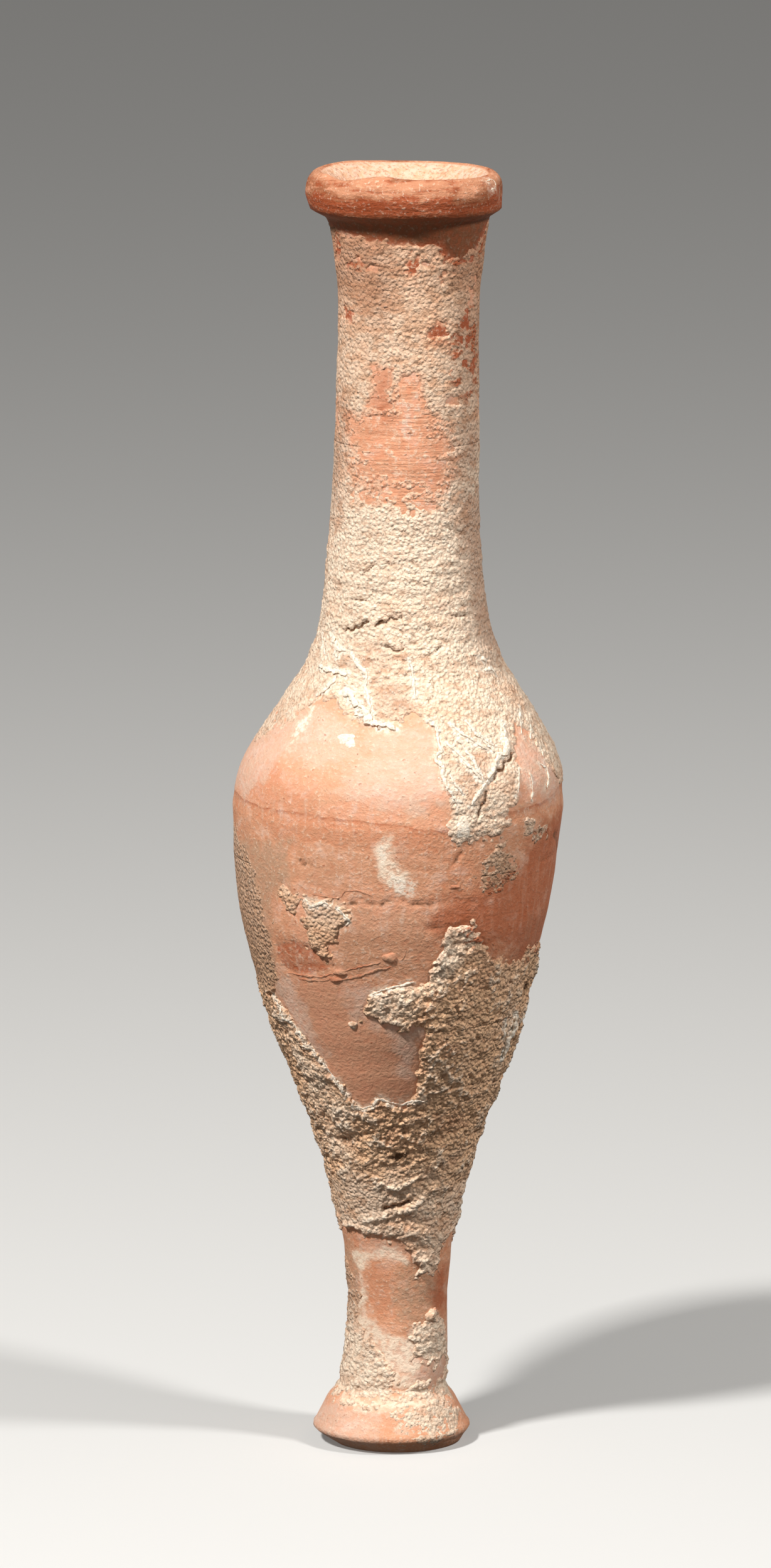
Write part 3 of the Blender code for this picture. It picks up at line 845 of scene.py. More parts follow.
# Noises in the shapes, each a sum of parts: (amount, waves per mm the same way round as in noise, seed
# that sets it apart)
NOISES = {
    "wander_across": ((0.75, 0.24, 21), (0.55, 0.7, 22), (0.3, 1.7, 23)),
    "wander_up": ((0.75, 0.24, 24), (0.55, 0.7, 25), (0.3, 1.7, 26)),
    "throwing_rings": ((1, (0.012, 0.012, 0.26), 16),),
    "inner_rings": ((0.25, (0.02, 0.02, 0.2), 16),),
    "dents": ((1, 0.055, 17),),
    "clay_grain": ((1, 0.7, 18),),
    "mouth_earth": ((0.45, 0.4, 19), (0.45, 0.85, 19), (0.45, 1.9, 19)),
    "fray": ((0.5, (0.55, 0.55, 0.8), 4), (0.5, (1.3, 1.3, 1.7), 5)),
    "streaks": ((0.7, (0.13, 0.13, 1.0), 6), (0.6, (0.35, 0.35, 1.9), 27)),
    "scattered": ((1, (0.75, 0.75, 1.0), 7),),
    "grains": ((0.6, 1.15, 8), (1.2, 2.0, 9)),
    "flakes": ((1.3, (0.26, 0.26, 0.5), 10), (0.9, (0.7, 0.7, 1.0), 11)),
    "long_worms": ((2.8, (0.68, 0.68, 0.85), 12),),
    "short_worms": ((2.4, (1.15, 1.15, 1.4), 13),),
    "worm_lengths": ((1.1, 0.55, 29),),
    "worm_lumps": ((0.7, 0.26, 14),),
    "pits": ((1, 1.2, 15),),
    "broken_cracks": ((0.9, 0.75, 28),),
    "strand_bends": ((1.1, 0.8, 18), (0.7, 2.1, 22)),
    "strand_wear": ((0.8, 0.7, 19), (0.8, 1.9, 23)),
    "rough_lumps": ((0.3, 0.9, 20),),
}


def mixed_noise(places, name):
    """The sum of a named noise's parts at some places."""
    return sum(amount * noise(places, waves, seed) for amount, waves, seed in NOISES[name])


def stations_between(low, high, low_radius, high_radius, shares):
    """(height, radius) stations of a section, its two ends included."""
    inner = [
        (low + (high - low) * along, low_radius + (high_radius - low_radius) * across)
        for along, across in shares
    ]
    return [(low, low_radius), *inner, (high, high_radius)]


def long_radius(heights):
    """Outer radius at heights between the stem's waist and the lip's undercut."""
    stem = stations_between(STEM_WAIST, STEM_TOP, STEM_RADIUS, BELLY_FOOT_RADIUS, STEM_FLARE)
    belly = stations_between(STEM_TOP, BODY_HEIGHT, BELLY_FOOT_RADIUS, BODY_RADIUS, BELLY_SWELL)
    shoulder = stations_between(BODY_HEIGHT, NECK_BASE, BODY_RADIUS, NECK_BASE_RADIUS, SHOULDER_FALL)
    neck = stations_between(NECK_BASE, NECK_WAIST, NECK_BASE_RADIUS, NECK_RADIUS, NECK_TAPER)
    throat = stations_between(NECK_WAIST, NECK_TOP, NECK_RADIUS, NECK_TOP_RADIUS, NECK_SPREAD)
    swelling = smooth_value(stem + belly[1:], heights)
    falling = smooth_value(shoulder + neck[1:], heights)
    spreading = smooth_value(throat, heights)
    upper = np.where(heights < NECK_WAIST, falling, spreading)
    return np.where(heights < BODY_HEIGHT, swelling, upper)


def outer_outline():
    """(radius, height) rows of the outside, from the resting face's edge up to the crest."""
    turns = np.radians(np.linspace(-60, 60, 9))
    rounding = [
        (
            FOOT_RADIUS - FOOT_EDGE_ROUNDING * (1 - math.cos(turn)),
            FOOT_EDGE_HEIGHT + FOOT_EDGE_ROUNDING * math.sin(turn),
        )
        for turn in turns
    ]
    rounding_top = FOOT_EDGE_HEIGHT + FOOT_EDGE_ROUNDING
    foot = [
        (RESTING_RADIUS, 0.0),
        *rounding,
        ((FOOT_RADIUS + LEDGE_RADIUS) / 2 - FLARE_HOLLOW, (rounding_top + LEDGE_HEIGHT) / 2),
        (LEDGE_RADIUS, LEDGE_HEIGHT),
        (LEDGE_RADIUS - LEDGE_DEPTH, (LEDGE_HEIGHT + FOOT_HEIGHT) / 2),
        (STEM_BASE_RADIUS, FOOT_HEIGHT),
    ]
    heights = np.linspace(STEM_WAIST, NECK_TOP, 800)
    long_part = np.column_stack([long_radius(heights), heights])
    face_height = LIP_BASE + LIP_FACE_SHARE * LIP_HEIGHT
    turns = np.linspace(0, math.pi / 2, 24)
    lip = np.column_stack(
        [
            CREST_RADIUS + (LIP_RADIUS - CREST_RADIUS) * np.cos(turns),
            face_height + (CREST_HEIGHT - face_height) * np.sin(turns),
        ]
    )
    return np.vstack([foot, long_part, [(LIP_EDGE_RADIUS, LIP_BASE)], lip])


def hollow_outline():
    """(radius, height) rows of the inside, from beside the crest down to the cavity's rounded floor."""
    bore_radius = NECK_RADIUS - NECK_WALL
    floor = STEM_TOP + FLOOR_ABOVE_STEM
    rounding_top = floor + FLOOR_ROUNDING_LENGTH
    mouth_floor = CREST_HEIGHT - MOUTH_DEPTH
    funnel = stations_between(
        mouth_floor,
        CREST_HEIGHT - CREST_THICKNESS / 2,
        bore_radius,
        CREST_RADIUS - CREST_THICKNESS,
        MOUTH_FLARE,
    )
    high = np.linspace(funnel[-1][0], mouth_floor, MOUTH_ROWS)
    low = np.linspace(mouth_floor, rounding_top, 90)[1:]
    turns = np.linspace(math.pi / 2, 0, 24)[1:]
    floor_heights = rounding_top - FLOOR_ROUNDING_LENGTH * np.cos(turns)

    def inside(heights):
        wall = np.interp(heights, [BODY_HEIGHT, NECK_BASE], [BODY_WALL, NECK_WALL])
        return np.where(heights < NECK_WAIST, long_radius(heights) - wall, bore_radius)

    return np.vstack(
        [
            np.column_stack([smooth_value(funnel, high), high]),
            np.column_stack([inside(low), low]),
            np.column_stack([inside(floor_heights) * np.sin(turns), floor_heights]),
        ]
    )


def stepped(outline, step):
    """An outline walked in even steps, with its outward directions across the outline.

    The direction at a row is the outline's own direction turned by a right angle, averaged over the rows
    on both sides, so a sharp corner gets a direction halfway between its two flanks.
    """
    lengths = np.concatenate([[0], np.cumsum(np.hypot(*np.diff(outline, axis=0).T))])
    walked = np.linspace(0, lengths[-1], max(2, round(lengths[-1] / step)) + 1)
    rows = np.column_stack([np.interp(walked, lengths, outline[:, i]) for i in (0, 1)])
    along = np.gradient(rows, axis=0)
    across = np.column_stack([along[:, 1], -along[:, 0]])
    return rows, across / np.linalg.norm(across, axis=1)[:, None]


def mm_per_degree(radius):
    """Length of a degree round a circle."""
    return np.radians(1.0) * radius


def bell(away):
    """A bell curve: 1 at nothing, and away from it the exponential of minus the square."""
    return np.exp(-(away**2))


def share_inside(distance, width):
    """0 outside to 1 inside an outline, rising evenly over a width in mm across it."""
    return np.clip(distance / width + 0.5, 0, 1)


def within_reach(distance):
    """A signed distance kept within the areas' reach."""
    return np.clip(distance, -AREA_REACH, AREA_REACH)


class Spots:
    """Points on the turned surface: angle, height, radius, outward direction and place in mm."""

    def __init__(self, angle, radius, height, out_radius, out_height):
        self.angle = (angle + 180.0) % 360.0 - 180.0
        self.radius = radius
        self.height = height
        self.out_radius = out_radius
        self.out_height = out_height
        turn = np.radians(angle)
        self.place = np.column_stack([radius * np.sin(turn), -radius * np.cos(turn), height])

    def away(self, angle):
        """Degrees from an angle to each spot, the short way round."""
        return (self.angle - angle + 180.0) % 360.0 - 180.0

    def picked(self, which):
        """Only some of the spots."""
        columns = (self.angle, self.radius, self.height, self.out_radius, self.out_height)
        return Spots(*(column[which] for column in columns))

    def wandered(self, reach):
        """The spots moved over the surface by noise, about a reach in mm, so that outlines are uneven."""
        across = reach * mixed_noise(self.place, "wander_across")
        angle = self.angle + np.degrees(across / np.clip(self.radius, LEAST_WANDER_RADIUS, None))
        height = self.height + WANDER_UP * reach * mixed_noise(self.place, "wander_up")
        height = np.clip(height, 0, CREST_HEIGHT)
        return Spots(angle, self.radius, height, self.out_radius, self.out_height)

    def lifted(self, lift):
        """Points that stand a number of mm off the turned surface, drifted and worn as the real one."""
        turn = np.radians(self.angle)
        radius = self.radius + lift * self.out_radius
        z = self.height + lift * self.out_height
        x = radius * np.sin(turn)
        y = -radius * np.cos(turn)
        lip_share = np.clip((self.height - LIP_BASE) / LIP_HEIGHT, 0, None)
        chip = math.radians(LIP_CHIP_ANGLE)
        reach = x * math.sin(chip) - y * math.cos(chip)
        spare = np.where(lip_share > 0, np.clip(reach - LIP_CHIP_DISTANCE, 0, None), 0)
        x = x - spare * math.sin(chip) + smooth_value(AXIS_DRIFT, self.height / CREST_HEIGHT)
        y = y + spare * math.cos(chip)
        rise = sum(height * bell(self.away(at) / width) for at, width, height in LIP_WEAR)
        return np.column_stack([x, y, z + lip_share * rise])


def spots_on(angles, heights):
    """Spots on the long outside, between the foot's ledge and the undercut."""
    rows, across = stepped(outer_outline(), LOOKUP_STEP)
    low = np.argmax(rows[:, 1] >= FOOT_HEIGHT)
    rows, across = rows[low:], across[low:]
    # The crest's rows are level with each other, so only rising rows can be looked up by height
    rising = np.concatenate([[True], np.diff(rows[:, 1]) > 1e-6])
    rows, across = rows[rising], across[rising]
    found = [np.interp(heights, rows[:, 1], column) for column in (*rows.T, *across.T)]
    return Spots(np.asarray(angles, float), found[0], np.asarray(heights, float), found[2], found[3])


def oval_place(spots, angle, height, half_width, half_height):
    """How far each spot is across and up from an oval's middle, in its half widths and half heights."""
    across = np.radians(spots.away(angle)) * spots.radius / half_width
    return across, (spots.height - height) / half_height


def oval(spots, shape):
    """Signed distance in mm, positive inside, to an oval: one less the scaled distance, times its size."""
    return (1 - np.hypot(*oval_place(spots, *shape))) * min(shape[2:])


def patch(spots, corners):
    """Signed distance in mm, positive inside, to a patch with straight sides.

    Degrees are turned to mm at each spot's own radius. The distance is to the nearest side, and a spot is
    inside when a level line from it crosses the sides an odd number of times.
    """
    middle = sum(angle for angle, _ in corners) / len(corners)
    to_mm = mm_per_degree(spots.radius)
    across = spots.away(middle) * to_mm
    nearest = np.full(len(across), np.inf)
    inside = np.zeros(len(across), bool)
    for (angle, low), (next_angle, high) in zip(corners, corners[1:] + corners[:1]):
        start = (angle - middle) * to_mm
        step = (next_angle - angle) * to_mm
        rise = high - low
        share = ((across - start) * step + (spots.height - low) * rise) / (step**2 + rise**2)
        share = np.clip(share, 0, 1)
        distance = np.hypot(across - start - share * step, spots.height - low - share * rise)
        nearest = np.minimum(nearest, distance)
        crosses = (low > spots.height) != (high > spots.height)
        meeting = start + step * (spots.height - low) / (rise if rise else 1.0)
        inside ^= crosses & (across < meeting)
    return np.where(inside, nearest, -nearest)


def areas(spots, shapes, reach=AREA_REACH):
    """The greatest signed distance in mm to several ovals and patches, kept within a reach."""
    greatest = np.full(len(spots.angle), -reach)
    for shape in shapes:
        is_patch = isinstance(shape[0], tuple)
        heights = [high for _, high in shape] if is_patch else [shape[1] - shape[3], shape[1] + shape[3]]
        near = (spots.height > min(heights) - reach) & (spots.height < max(heights) + reach)
        some = spots.picked(near)
        distance = patch(some, shape) if is_patch else oval(some, shape)
        greatest[near] = np.maximum(greatest[near], distance)
    return np.minimum(greatest, reach)


def above(spots, edge):
    """Distance in mm above an edge line that is a height for each angle, measured across the line."""
    height = smooth_value(edge, spots.angle)
    ahead = smooth_value(edge, np.clip(spots.angle + SLOPE_STEP, -180, 180))
    slope = (ahead - height) / (SLOPE_STEP * mm_per_degree(np.clip(spots.radius, 1, None)))
    return (spots.height - height) / np.sqrt(1 + slope**2)


def walked_path(points, step=PATH_STEP):
    """Angles and heights along a smooth path through points, an even step apart in mm.

    Both are curves of the distance walked so far from point to point.
    """
    angles, heights = np.array(points, float).T
    to_mm = mm_per_degree(spots_on(angles, heights).radius.mean())
    walked = np.concatenate([[0], np.cumsum(np.hypot(np.diff(angles) * to_mm, np.diff(heights)))])
    places = np.linspace(0, walked[-1], max(3, round(walked[-1] / step)) + 1)
    return (
        smooth_value(np.column_stack([walked, angles]), places),
        smooth_value(np.column_stack([walked, heights]), places),
    )


def near_path(spots, points):
    """Distance in mm from each spot to a smooth path, looked up only where the path is close."""
    angles, heights = walked_path(points)
    distance = np.full(len(spots.angle), FAR_FROM_PATH)
    level = np.abs(spots.height - heights.mean()) < np.ptp(heights) / 2 + PATH_MARGIN_HEIGHT
    close = level & (np.abs(spots.away(angles.mean())) < np.ptp(angles) / 2 + PATH_MARGIN_ANGLE)
    to_mm = mm_per_degree(spots.radius[close])
    nearest = np.full(close.sum(), FAR_FROM_PATH)
    for angle, height in zip(angles, heights):
        across = spots.away(angle)[close] * to_mm
        nearest = np.minimum(nearest, np.hypot(across, spots.height[close] - height))
    distance[close] = nearest
    return distance


def deepest(spots, marks):
    """At each spot the deepest of several grooves, each a bell curve across its path."""
    depths = np.zeros(len(spots.angle))
    for half_width, depth, *points in marks:
        depths = np.maximum(depths, depth * bell(near_path(spots, points) / half_width))
    return depths


def inside_marks(spots, marks):
    """Distance in mm inside the nearest of several marks that have a half width and a path."""
    inside = np.full(len(spots.angle), -AREA_REACH)
    for half_width, *points in marks:
        inside = np.maximum(inside, half_width - near_path(spots, points))
    return inside


def above_lip_edge(spots):
    """Distance in mm above the upper edge of the neck's crust."""
    return above(spots.wandered(LIP_EDGE_WANDER), UNDER_LIP_EDGE)


def crust_cover(spots, wandered, crust):
    """Distance in mm inside the crust's edge, negative on bare clay, and how thinly it is worn from 0 to 1.

    The outlines are drawn on wandered spots. Noise times the softness at that height frays them, level
    streaks fray the worn window in the neck, and small grains lie scattered outside. The crust thins out
    towards the window as its distance over the window's thinning distance.
    """
    neck = above(wandered, UPPER_CRUST_EDGE)
    belly = np.minimum(-above(wandered, BELLY_CRUST_EDGE), above(wandered, STEM_CRUST_EDGE))
    foot = np.minimum(-above(wandered, FOOT_CRUST_EDGE), spots.height - LEDGE_HEIGHT - LEDGE_BARE)
    laid = np.maximum.reduce([neck, belly, foot, areas(wandered, CRUST_AREAS)])
    window = areas(wandered, WINDOW_AREAS, WINDOW_AREA_REACH)
    frayed = share_inside(areas(spots, FRAYED_AREAS), FRAYED_BLEND)
    softness = smooth_value(CRUST_SOFTNESS, spots.height) * (1 + FRAYED_FURTHER * frayed)
    fray = mixed_noise(spots.place, "fray")
    in_window = np.clip(STREAKS_END - np.abs(spots.height - WINDOW_HEIGHT) / WINDOW_REACH, 0, 1)
    reach = crust.streaks / MM
    streaks = reach * in_window * mixed_noise(spots.place, "streaks")
    around = -window + np.where(window > -reach, streaks, 0)
    worn = areas(wandered, WORN_AREAS)
    cover = np.minimum.reduce([within_reach(laid), around, -worn]) + softness * fray
    scattered = mixed_noise(spots.place, "scattered") - SCATTER_LIMIT
    scattered = scattered + SCATTER_THINNING * np.clip(laid, -AREA_REACH, 0)
    cover = np.maximum(cover, SCATTER_COVER * scattered)
    thinning = np.interp(spots.height, *np.transpose(WINDOW_THINNING))
    thin = np.clip(1 + window / thinning, 0, 1)
    below_lip = -above_lip_edge(spots) + (LIP_EDGE_FRAY + LIP_EDGE_FRAYED_FURTHER * frayed) * fray
    return np.minimum(cover, within_reach(below_lip)), thin


def crust_texture(spots, wandered, crust):
    """Heights in mm of the crust's own roughness.

    Grains are two noises about 0.9 and 0.5 mm from crest to crest. Flakes are a slow noise pulled into
    terraces. Worms are the thin crests where a slanting noise passes through nothing, broken into lengths
    by a slower one, and pits are the highest parts of another noise turned inwards.
    """
    flattened = spots.place.copy()
    flattened[:, 2] = np.interp(spots.height, *np.transpose(CRUST_FLATTENING))
    slanting = flattened.copy()
    slanting[:, 2] -= WORM_SLANT * slanting[:, 0]
    grains = mixed_noise(flattened, "grains")
    rising = mixed_noise(flattened, "flakes") * FLAKE_TERRACES
    level = np.floor(rising)
    flakes = (level + np.clip((rising - level) * TERRACE_STEEPNESS, 0, 1)) / FLAKE_TERRACES
    long_crests = np.clip(1 - np.abs(mixed_noise(slanting, "long_worms")), 0, 1)
    short_crests = np.clip(1 - np.abs(mixed_noise(slanting, "short_worms")), 0, 1)
    lengths = np.clip(USUAL_WORM_LENGTH + mixed_noise(flattened, "worm_lengths"), *WORM_LENGTH_LIMITS)
    crests = lengths * (LONG_WORM_HEIGHT * long_crests + SHORT_WORM_HEIGHT * short_crests)
    worms = crests + mixed_noise(flattened, "worm_lumps") - WORM_LEVEL
    rough = smooth_value(WORM_RELIEF, spots.height) / USUAL_WORM_RELIEF
    pits = np.clip(mixed_noise(flattened, "pits") - PIT_LIMIT, 0, None)
    pits = pits * (PLAIN_PIT_DEPTH + WORM_PIT_DEPTH * rough)
    smooth = share_inside(areas(wandered, SMOOTH_AREAS), SMOOTH_BLEND)
    height = (
        smooth_value(GRAIN_RELIEF, spots.height) * grains
        + smooth_value(FLAKE_RELIEF, spots.height) * flakes
        + smooth_value(WORM_RELIEF, spots.height) * worms
        - crust.pits / MM * pits
    )
    return height * (1 - SMOOTH_LOSS * smooth)


def relief(spots, sizes, crust):
    """Heights in mm over the turned surface, and what the materials need to know about each spot.

    The clay's height is the broad swells, the thrower's rings, dents and grain, less its grooves, the worn
    step and half the crust's thickness where crust lies. The crust adds its thickness, which nears the
    full one as one less an exponential of the distance from its edge, its roughness and its crests, and
    the cracks cut into it.
    """
    wandered = spots.wandered(crust.ragged / MM)
    cover, thin = crust_cover(spots, wandered, crust)
    swell = sum(
        thickness * bell(spots.away(at) / width) * bell((spots.height - share * CREST_HEIGHT) / half_height)
        for at, share, width, half_height, thickness in CRUST_SWELLS
    )
    film = share_inside(areas(wandered, THIN_AREAS), THIN_BLEND)
    full = smooth_value(CRUST_THICKNESS, spots.height) * (1 - THIN_LOSS * np.maximum(thin, film))
    sunk = SUNK_SHARE * full * np.clip(cover / SUNK_WIDTH + SUNK_AT_EDGE, 0, 1)
    rings = sizes.throwing_rings / MM * mixed_noise(spots.place, "throwing_rings")
    dents = sizes.unevenness / MM * mixed_noise(spots.place, "dents")
    polished = share_inside(areas(spots, STAINS["panel"]), PANEL_BLEND)
    grain = sizes.grain / MM * mixed_noise(spots.place, "clay_grain") * (1 - polished)
    slip_line = above(spots.wandered(SLIP_LINE_WANDER), SHOULDER_SLIP_LINE)
    slip_edge = SLIP_THICKNESS * np.clip(slip_line / SLIP_EDGE_WIDTH, -0.5, 0.5)
    step_down = RED_STEP_DEPTH * share_inside(areas(spots, STAINS["red_step"]), SLIP_EDGE_WIDTH)
    grooved = spots.wandered(GROOVE_WANDER)
    groove = deepest(grooved, CLAY_GROOVES)
    clay = swell + rings + dents + grain - sunk + slip_edge - step_down - groove

    texture = crust_texture(spots, wandered, crust)
    texture = texture * (1 - WINDOW_SMOOTHING * thin) * (1 - THIN_SMOOTHING * film)
    strength = np.clip(USUAL_STRENGTH + mixed_noise(spots.place, "broken_cracks"), *STRENGTH_LIMITS)
    crack = deepest(spots.wandered(CRACK_WANDER), CRUST_CRACKS) * strength
    for *shape, depth in CRUST_HOLLOWS:
        across, up = oval_place(spots, *shape)
        crack = np.maximum(crack, depth * np.exp(-(across**2 + up**2)))
    crest = deepest(grooved, CRUST_RIDGES) * strength
    reached = 1 - np.exp(-np.clip(cover, 0, None) / (crust.ramp / MM))
    settled = np.clip(cover / SETTLING_WIDTH, 0, 1)
    thickness = np.where(cover > 0, full * reached, EDGE_DIVE * cover)
    cut = np.minimum(crack, DEEPEST_CUT * np.clip(thickness, 0, None))
    return {
        "wandered": wandered,
        "clay": clay,
        "top": clay + thickness + settled * (texture + crest - cut),
        "cover": cover,
        "thin": thin,
        "film": film,
        # The crust's colour follows these heights: paler on crests, darker low and in cracks, partly painted
        # highlight and shade
        "relief": settled * (texture + crest) - CRACK_DARKNESS * crack,
        "crack": crack,
        "slip_line": slip_line,
        "groove": groove,
    }


def ground_height(known):
    """Height in mm of what is bare to the air: the crust where it covers the clay, and else the clay."""
    return np.where(known["cover"] > 0, known["top"], known["clay"])


def column_angles(columns, front_share):
    """Angles round the flask in degrees, closer together at the front: t less a share of its sine."""
    t = np.linspace(-math.pi, math.pi, columns, endpoint=False)
    return np.degrees(t - front_share * np.sin(t))


def mesh_from(name, points, faces):
    """A mesh in metres from points in mm and lists of three- and four-cornered faces."""
    mesh = bpy.data.meshes.new(name)
    mesh.vertices.add(len(points))
    mesh.vertices.foreach_set("co", (points * MM).astype(np.float32).ravel())
    sizes = np.concatenate([np.full(len(part), part.shape[1]) for part in faces])
    corners = np.concatenate([part.ravel() for part in faces])
    mesh.loops.add(len(corners))
    mesh.loops.foreach_set("vertex_index", corners.astype(np.int32))
    mesh.polygons.add(len(sizes))
    starts = np.concatenate([[0], np.cumsum(sizes)[:-1]])
    mesh.polygons.foreach_set("loop_start", starts.astype(np.int32))
    mesh.polygons.foreach_set("loop_total", sizes.astype(np.int32))
    mesh.update(calc_edges=True)
    mesh.validate()
    mesh.shade_smooth()
    return mesh


def keep_values(mesh, **values):
    """Stores a number for each point under a name that a material can read."""
    for name, numbers in values.items():
        attribute = mesh.attributes.new(name, "FLOAT", "POINT")
        attribute.data.foreach_set("value", np.asarray(numbers, np.float32))


def finished(name, mesh, material):
    """Puts a mesh into the scene as a piece of the flask that rides on its one body."""
    mesh.materials.append(material)
    piece = bpy.data.objects.new(name, mesh)
    bpy.context.scene.collection.objects.link(piece)
    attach(piece, "root")
    return piece


def ring_faces(starts, counts):
    """Faces between neighbouring rings, where a ring may have as many points as the next, twice or half.

    Each pair of columns of a doubled ring meets one column of the plain ring in a triangle and a quad.
    """
    quads = []
    tris = []
    for (low, below), (high, over) in zip(zip(starts, counts), zip(starts[1:], counts[1:])):
        fewer = min(below, over)
        here = np.arange(fewer)
        there = (here + 1) % fewer
        if below == over:
            quads.append(np.column_stack([low + here, low + there, high + there, high + here]))
            continue
        first = 2 * here
        second = first + 1
        third = (first + 2) % (2 * fewer)
        if below > over:
            tris.append(np.column_stack([low + first, low + second, high + here]))
            quads.append(np.column_stack([low + second, low + third, high + there, high + here]))
        else:
            tris.append(np.column_stack([low + here, high + second, high + first]))
            quads.append(np.column_stack([low + here, low + there, high + third, high + second]))
    return [np.vstack(quads), np.vstack(tris)] if tris else [np.vstack(quads)]


def columns_at(heights, inside, body_columns):
    """Points round each ring: all on belly and lip, half on neck, stem and mouth, a quarter deep inside."""
    belly = (heights > FINE_LOW) & (heights < FINE_HIGH)
    lip = heights > NECK_TOP
    outer = np.where(belly | lip, body_columns, body_columns // 2)
    deep = np.where(heights > CREST_HEIGHT - MOUTH_DEPTH, body_columns // 2, body_columns // 4)
    return np.where(inside, np.where(lip, body_columns, deep), outer)


def closed_skin(points, counts):
    """The points and faces of a skin of rings, closed by a fan at its last ring and a face at its first.

    The fan meets at the hollow's lowest point. The resting face is rings of the same points drawn in
    level by level to the origin.
    """
    starts = np.concatenate([[0], np.cumsum(counts)[:-1]])
    faces = ring_faces(starts, counts)
    last = starts[-1] + np.arange(counts[-1])
    floor_fan = np.column_stack([last, np.roll(last, -1), np.full(counts[-1], len(points))])
    first = np.arange(counts[0])
    beside = np.roll(first, -1)
    base_points = [points[first] * (share, share, 0) for share in BASE_RINGS]
    base_starts = [0] + [len(points) + 1 + i * counts[0] for i in range(len(BASE_RINGS))]
    base_faces = [
        np.column_stack([low + beside, low + first, high + first, high + beside])
        for low, high in zip(base_starts, base_starts[1:])
    ]
    centre = len(points) + 1 + len(BASE_RINGS) * counts[0]
    inner = base_starts[-1] + first
    base_fan = np.column_stack([np.roll(inner, -1), inner, np.full(counts[0], centre)])
    floor_height = STEM_TOP + FLOOR_ABOVE_STEM
    drift = float(smooth_value(AXIS_DRIFT, np.array([floor_height / CREST_HEIGHT]))[0])
    points = np.vstack([points, [(drift, 0, floor_height)], *base_points, [(0, 0, 0)]])
    return points, [np.vstack([faces[0], *base_faces]), np.vstack([*faces[1:], floor_fan, base_fan])]


def make_vessel(sizes, crust, material):
    """The whole flask as one closed skin: outside, crest, hollow and resting face.

    Rings of points walk up the outside and down the inside. The outside's rings are lifted by the clay's
    relief, the mouth's by lumps of earth, and the rest of the hollow keeps the thrower's rings alone.
    """
    hollow = hollow_outline()
    outer, outer_across = stepped(outer_outline(), sizes.row_step / MM)
    mouth, mouth_across = stepped(hollow[:MOUTH_ROWS], sizes.row_step / MM)
    deep, deep_across = stepped(hollow[MOUTH_ROWS - 1 :], DEEP_STEP)
    rows = np.vstack([outer, mouth, deep[1:-1]])
    across = np.vstack([outer_across, mouth_across, deep_across[1:-1]])
    inside = np.arange(len(rows)) >= len(outer)
    counts = columns_at(rows[:, 1], inside, sizes.body_columns)
    angles = np.concatenate([column_angles(count, sizes.front_share) for count in counts])
    row = np.repeat(np.arange(len(rows)), counts)
    spots = Spots(angles, *rows[row].T, *across[row].T)
    known = relief(spots, sizes, crust)
    rings = mixed_noise(spots.place, "inner_rings")
    fill = sizes.mouth_fill / MM * mixed_noise(spots.place, "mouth_earth")
    in_mouth = inside[row] & (spots.height > CREST_HEIGHT - MOUTH_DEPTH)
    # The earth thins out over the last millimetre below the crest, and the relief over the foot's edge
    below_crest = np.clip(CREST_HEIGHT - spots.height, 0, 1)
    above_foot = np.clip(spots.height / RESTING_BLEND, 0, 1)
    inner_lift = np.where(in_mouth, fill * below_crest, rings)
    lift = np.where(inside[row], inner_lift, known["clay"] * above_foot)
    points, faces = closed_skin(spots.lifted(lift), counts)
    mesh = mesh_from("flask_clay", points, faces)

    def everywhere(values, beyond=0.0):
        return np.concatenate([values, np.full(len(points) - len(values), beyond)])

    stains = {name: areas(known["wandered"], shapes) for name, shapes in STAINS.items()}
    # Under the lip the clay gets dark red slip and dark soil: partly real slip and soil, partly the lip's
    # painted shadow
    under_lip = np.minimum(above_lip_edge(spots), LIP_BASE + LIP_BLEND - spots.height)
    stains["under_lip"] = within_reach(under_lip)
    stains["lip_red"] = np.maximum(stains["lip_red"], stains["under_lip"])
    stains["lime"] = np.maximum(stains["lime"], inside_marks(spots, LIME_MARKS))
    stains["slip_line"] = within_reach(known["slip_line"])
    stains["cover"] = within_reach(known["cover"])
    keep_values(
        mesh,
        groove=everywhere(known["groove"]),
        mouth=everywhere(in_mouth.astype(float)),
        lip=everywhere(np.clip((spots.height - NECK_TOP) / LIP_BLEND, 0, 1) * ~inside[row]),
        **{name: everywhere(values, -AREA_REACH) for name, values in stains.items()},
    )
    piece = finished("flask_clay", mesh, material)
    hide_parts("vessel")


def grid_cells(number):
    """The corners of each cell of a grid of point numbers whose rows close into rings."""
    right = np.roll(number, -1, axis=1)
    return np.stack([number[:-1], right[:-1], right[1:], number[1:]], axis=-1)


def shell_faces(kept, top, sink):
    """Faces of a closed crust: kept cells above and below, and walls along their outer edges.

    kept says which cells of a grid that closes round the flask are crust. top gives the numbers of the
    upper points, and the lower points' numbers are greater by sink.
    """
    cells = grid_cells(top)
    upper = cells[kept]
    empty_row = np.zeros((1, kept.shape[1]), bool)
    beside = {
        (0, 1): np.vstack([empty_row, kept[:-1]]),
        (2, 3): np.vstack([kept[1:], empty_row]),
        (3, 0): np.roll(kept, 1, axis=1),
        (1, 2): np.roll(kept, -1, axis=1),
    }
    walls = []
    for (start, end), neighbour in beside.items():
        edge = kept & ~neighbour
        a = cells[..., start][edge]
        b = cells[..., end][edge]
        walls.append(np.column_stack([b, a, a + sink, b + sink]))
    return np.vstack([upper, upper[:, ::-1] + sink, *walls])


def without_pinches(kept, passes=6):
    """Cells that touch only at a corner get a neighbour, so that the shell stays one clean surface."""
    for _ in range(passes):
        right = np.roll(kept, -1, axis=1)
        here, beside, over, across = kept[:-1], right[:-1], kept[1:], right[1:]
        falling = here & across & ~beside & ~over
        rising = beside & over & ~here & ~across
        if not (falling | rising).any():
            break
        kept = kept.copy()
        kept[1:] |= falling
        kept[:-1] |= rising
    return kept


